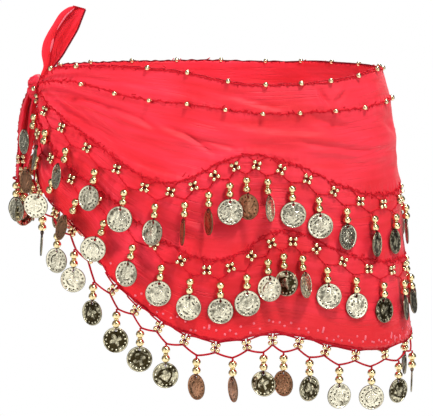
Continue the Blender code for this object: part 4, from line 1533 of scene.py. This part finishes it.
class SCARF_OT_edges(bpy.types.Operator):
    """Make the crochet lines and the beads along the top"""

    bl_idname = "scarf.edge_trim"
    bl_label = "Crochet lines and edge beads"

    def execute(self, context):
        lines = (
            (lambda a: height(TOP_FRONT, a) - 0.9, 0.45, 12.0),
            (lambda a: height(BEADS, a), 0.65, 7.0),
            (lambda a: height(UPPER, a) + CROCHET_ABOVE, 0.9, 3.6),
            (lambda a: height(LOWER, a) + CROCHET_ABOVE, 0.9, 3.6),
        )
        for back, side in ((False, "front"), (True, "back")):
            start, stop = ends(back)
            patches = []
            for number, (height_at, sway, spacing) in enumerate(lines):
                seed = 100 + 10 * number + back
                patches += [
                    stitch_line(start, stop, height_at, seed, 0.58, sway),
                    stitch_line(start, stop, height_at, seed + 200, 0.50, 0.6 * sway),
                    picots(start, stop, height_at, seed + 5, spacing),
                ]
            make(side + "_crochet", patches, "thread")
            # The back's rolled edge is in the dark thread of painted shade.
            rolled = "shaded" if back else "cord"
            make(side + "_top_roll", [top_roll(start, stop)], rolled)
            make(side + "_hem_stitches", [hem_stitches(back, 150 + back)], "pale_thread")
        radius = sizes().edge_bead / MM
        ball = bead_patch(radius, radius * 0.92, 0.55, 12, 7)
        line_beads = np.array(LINE_BEADS)
        centres = [
            on_cloth(angles, height(line, angles) + low, out) for line, angles, low, out in (
                (TOP_FRONT, np.array(TOP_BEADS), -0.2, 1.5),
                (TOP_FRONT, TURN - np.array(BACK_BEADS), 0.4, 0.0),
                (BEADS, line_beads, 0.0, 1.85),
                (BEADS, TURN - line_beads - 1.5, 0.0, 1.85),
            )
        ]
        centres = np.concatenate(centres + [np.array([KNOT_BEAD])])
        o = unit_vector(centres * (1, 1, 0))
        axes = np.stack([o, np.broadcast_to((0, 0, 1.0), o.shape), beside(o)], axis=1)
        make("edge_beads", [ball.repeat(centres, axes)], "pale_bead")
        return {"FINISHED"}


# Studio, in metres: the point looked at, the floor, and the lamps with their place, size and watts.
LOOKED_AT = np.array([0.003, 0.0, -0.1195])
FLOOR_REACH = 1.3
FLOOR_LEVEL = -0.62
LAMPS = {
    "key": ((0.42, -0.68, 1.20), 0.28, 20.0),
    "fill": ((1.4, -1.2, 0.35), 1.0, 6.6),
    "low": ((-1.8, -0.8, -0.1), 1.0, 25.0),
    "rear": ((0.3, 1.1, 1.25), 0.6, 24.0),
}
CAMERA_DISTANCE = 1.7
CAMERA_LENS = 160.6
CAMERA_DOWN = math.radians(6.0)
WHITE = (1.0, 1.0, 1.0, 1.0)


def soft_surroundings():
    """A world that is white to the eye, dim as light, and has panels and cards to reflect.

    The reflections are soft patches of noise, dimmed behind and at the sides, with a panel and a
    strip added in front and at the left, and a dark card above the eye.
    """
    world = bpy.data.worlds.new("studio")
    world.use_nodes = True
    sky = Nodes(world.node_tree)
    way = sky.node("ShaderNodeTexCoord", output="Generated")
    ahead = sky.node("ShaderNodeSeparateXYZ", None, (way,), output=1)
    left, above = (
        sky.node("ShaderNodeVectorMath", {"operation": "DOT_PRODUCT"}, (way, towards), output="Value")
        for towards in ((-0.87, -0.5, 0.0), (0.0, -0.94, 0.34))
    )
    lit = sky.noise(way, 4.2, 0.0).ramp(0.44, 0.60, 0.03, 1.35) * ahead.ramp(0.05, -0.55, 0.42, 1.0)
    lit = lit * ahead.its("ABSOLUTE").ramp(0.15, 0.50, 0.22, 1.0)
    lit = lit + ahead.ramp(-0.72, -0.96, 0.0, 0.5) + left.ramp(0.55, 0.90, 0.0, 0.42)
    lit = lit * above.ramp(0.965, 0.90, 0.05, 1.0)
    soft, shine, white = (
        sky.node("ShaderNodeBackground", None, {"Color": tone, "Strength": strength})
        for tone, strength in ((WHITE, 0.28), ((1.0, 0.99, 0.96, 1.0), lit), (WHITE, 1.0))
    )
    for ray, other in (("Is Glossy Ray", shine), ("Is Camera Ray", white)):
        seen = sky.node("ShaderNodeLightPath", output=ray)
        soft = sky.node("ShaderNodeMixShader", None, (seen, soft, other))
    sky.tree.links.new(soft.socket, sky.tree.nodes["World Output"].inputs["Surface"])
    return world


class SCARF_OT_studio(bpy.types.Operator):
    """Make the floor, the lights and the camera"""

    bl_idname = "scarf.studio"
    bl_label = "Studio"

    def execute(self, context):
        scene = context.scene
        mesh = bpy.data.meshes.new("floor")
        ways = ((-1, -1), (1, -1), (1, 1), (-1, 1))
        corners = [(x * FLOOR_REACH, y * FLOOR_REACH, FLOOR_LEVEL) for x, y in ways]
        mesh.from_pydata(corners, [], [(0, 1, 2, 3)])
        pale = Finish(
            "pale_floor", Base_Color=(0.9, 0.9, 0.9, 1.0), Roughness=0.9, Emission_Color=WHITE,
            Emission_Strength=0.30,
        )
        mesh.materials.append(pale.material)
        floor = bpy.data.objects.new("floor", mesh)
        scene.collection.objects.link(floor)

        for name, (place, size, power) in LAMPS.items():
            light = bpy.data.lights.new(name, "AREA")
            light.shape = "SQUARE"
            light.size = size
            light.energy = power
            lamp = bpy.data.objects.new(name, light)
            lamp.location = place
            lamp.visible_glossy = name != "low"
            away = LOOKED_AT - np.array(place)
            tilt = math.acos(-away[2] / np.linalg.norm(away))
            lamp.rotation_euler = (tilt, 0.0, math.atan2(away[1], away[0]) - math.pi / 2)
            scene.collection.objects.link(lamp)
        scene.world = soft_surroundings()
        scene.view_settings.view_transform = "Standard"

        eye = bpy.data.cameras.new("camera")
        eye.sensor_width = 36.0
        eye.lens = CAMERA_LENS
        eye.clip_end = 50.0
        camera = bpy.data.objects.new("camera", eye)
        back_off = np.array([0.0, -math.cos(CAMERA_DOWN), math.sin(CAMERA_DOWN)])
        camera.location = LOOKED_AT + CAMERA_DISTANCE * back_off
        camera.rotation_euler = (math.pi / 2 - CAMERA_DOWN, 0.0, 0.0)
        scene.collection.objects.link(camera)
        scene.camera = camera
        return {"FINISHED"}


class SCARF_PT_panel(bpy.types.Panel):
    """Sizes, colours and the steps that make the scarf"""

    bl_idname = "SCARF_PT_panel"
    bl_label = "Hip scarf"
    bl_space_type = "VIEW_3D"
    bl_region_type = "UI"
    bl_category = "Hip scarf"

    def draw(self, context):
        for group in (sizes(), colours()):
            for key in group.__annotations__:
                self.layout.prop(group, key)
        for operator in OPERATORS:
            self.layout.operator(operator.bl_idname)


OPERATORS = (
    SCARF_OT_cloth, SCARF_OT_knot, SCARF_OT_row, SCARF_OT_fringe, SCARF_OT_tail_coins, SCARF_OT_edges,
    SCARF_OT_studio,
)
CLASSES = (ScarfSizes, ScarfColours) + OPERATORS + (SCARF_PT_panel,)


def register():
    """Register the classes and their settings."""
    for one in CLASSES:
        bpy.utils.register_class(one)
    bpy.types.Scene.scarf_sizes = PointerProperty(type=ScarfSizes)
    bpy.types.Scene.scarf_colours = PointerProperty(type=ScarfColours)


def unregister():
    """Take the classes and their settings out again."""
    del bpy.types.Scene.scarf_colours
    del bpy.types.Scene.scarf_sizes
    for one in reversed(CLASSES):
        bpy.utils.unregister_class(one)


def main():
    """Make every piece."""
    register()
    bpy.ops.scarf.cloth()
    bpy.ops.scarf.knot_and_tails()
    bpy.ops.scarf.coin_rows()
    bpy.ops.scarf.hem_fringe()
    bpy.ops.scarf.tail_coins()
    bpy.ops.scarf.edge_trim()
    bpy.ops.scarf.studio()


if __name__ == "__main__":
    main()
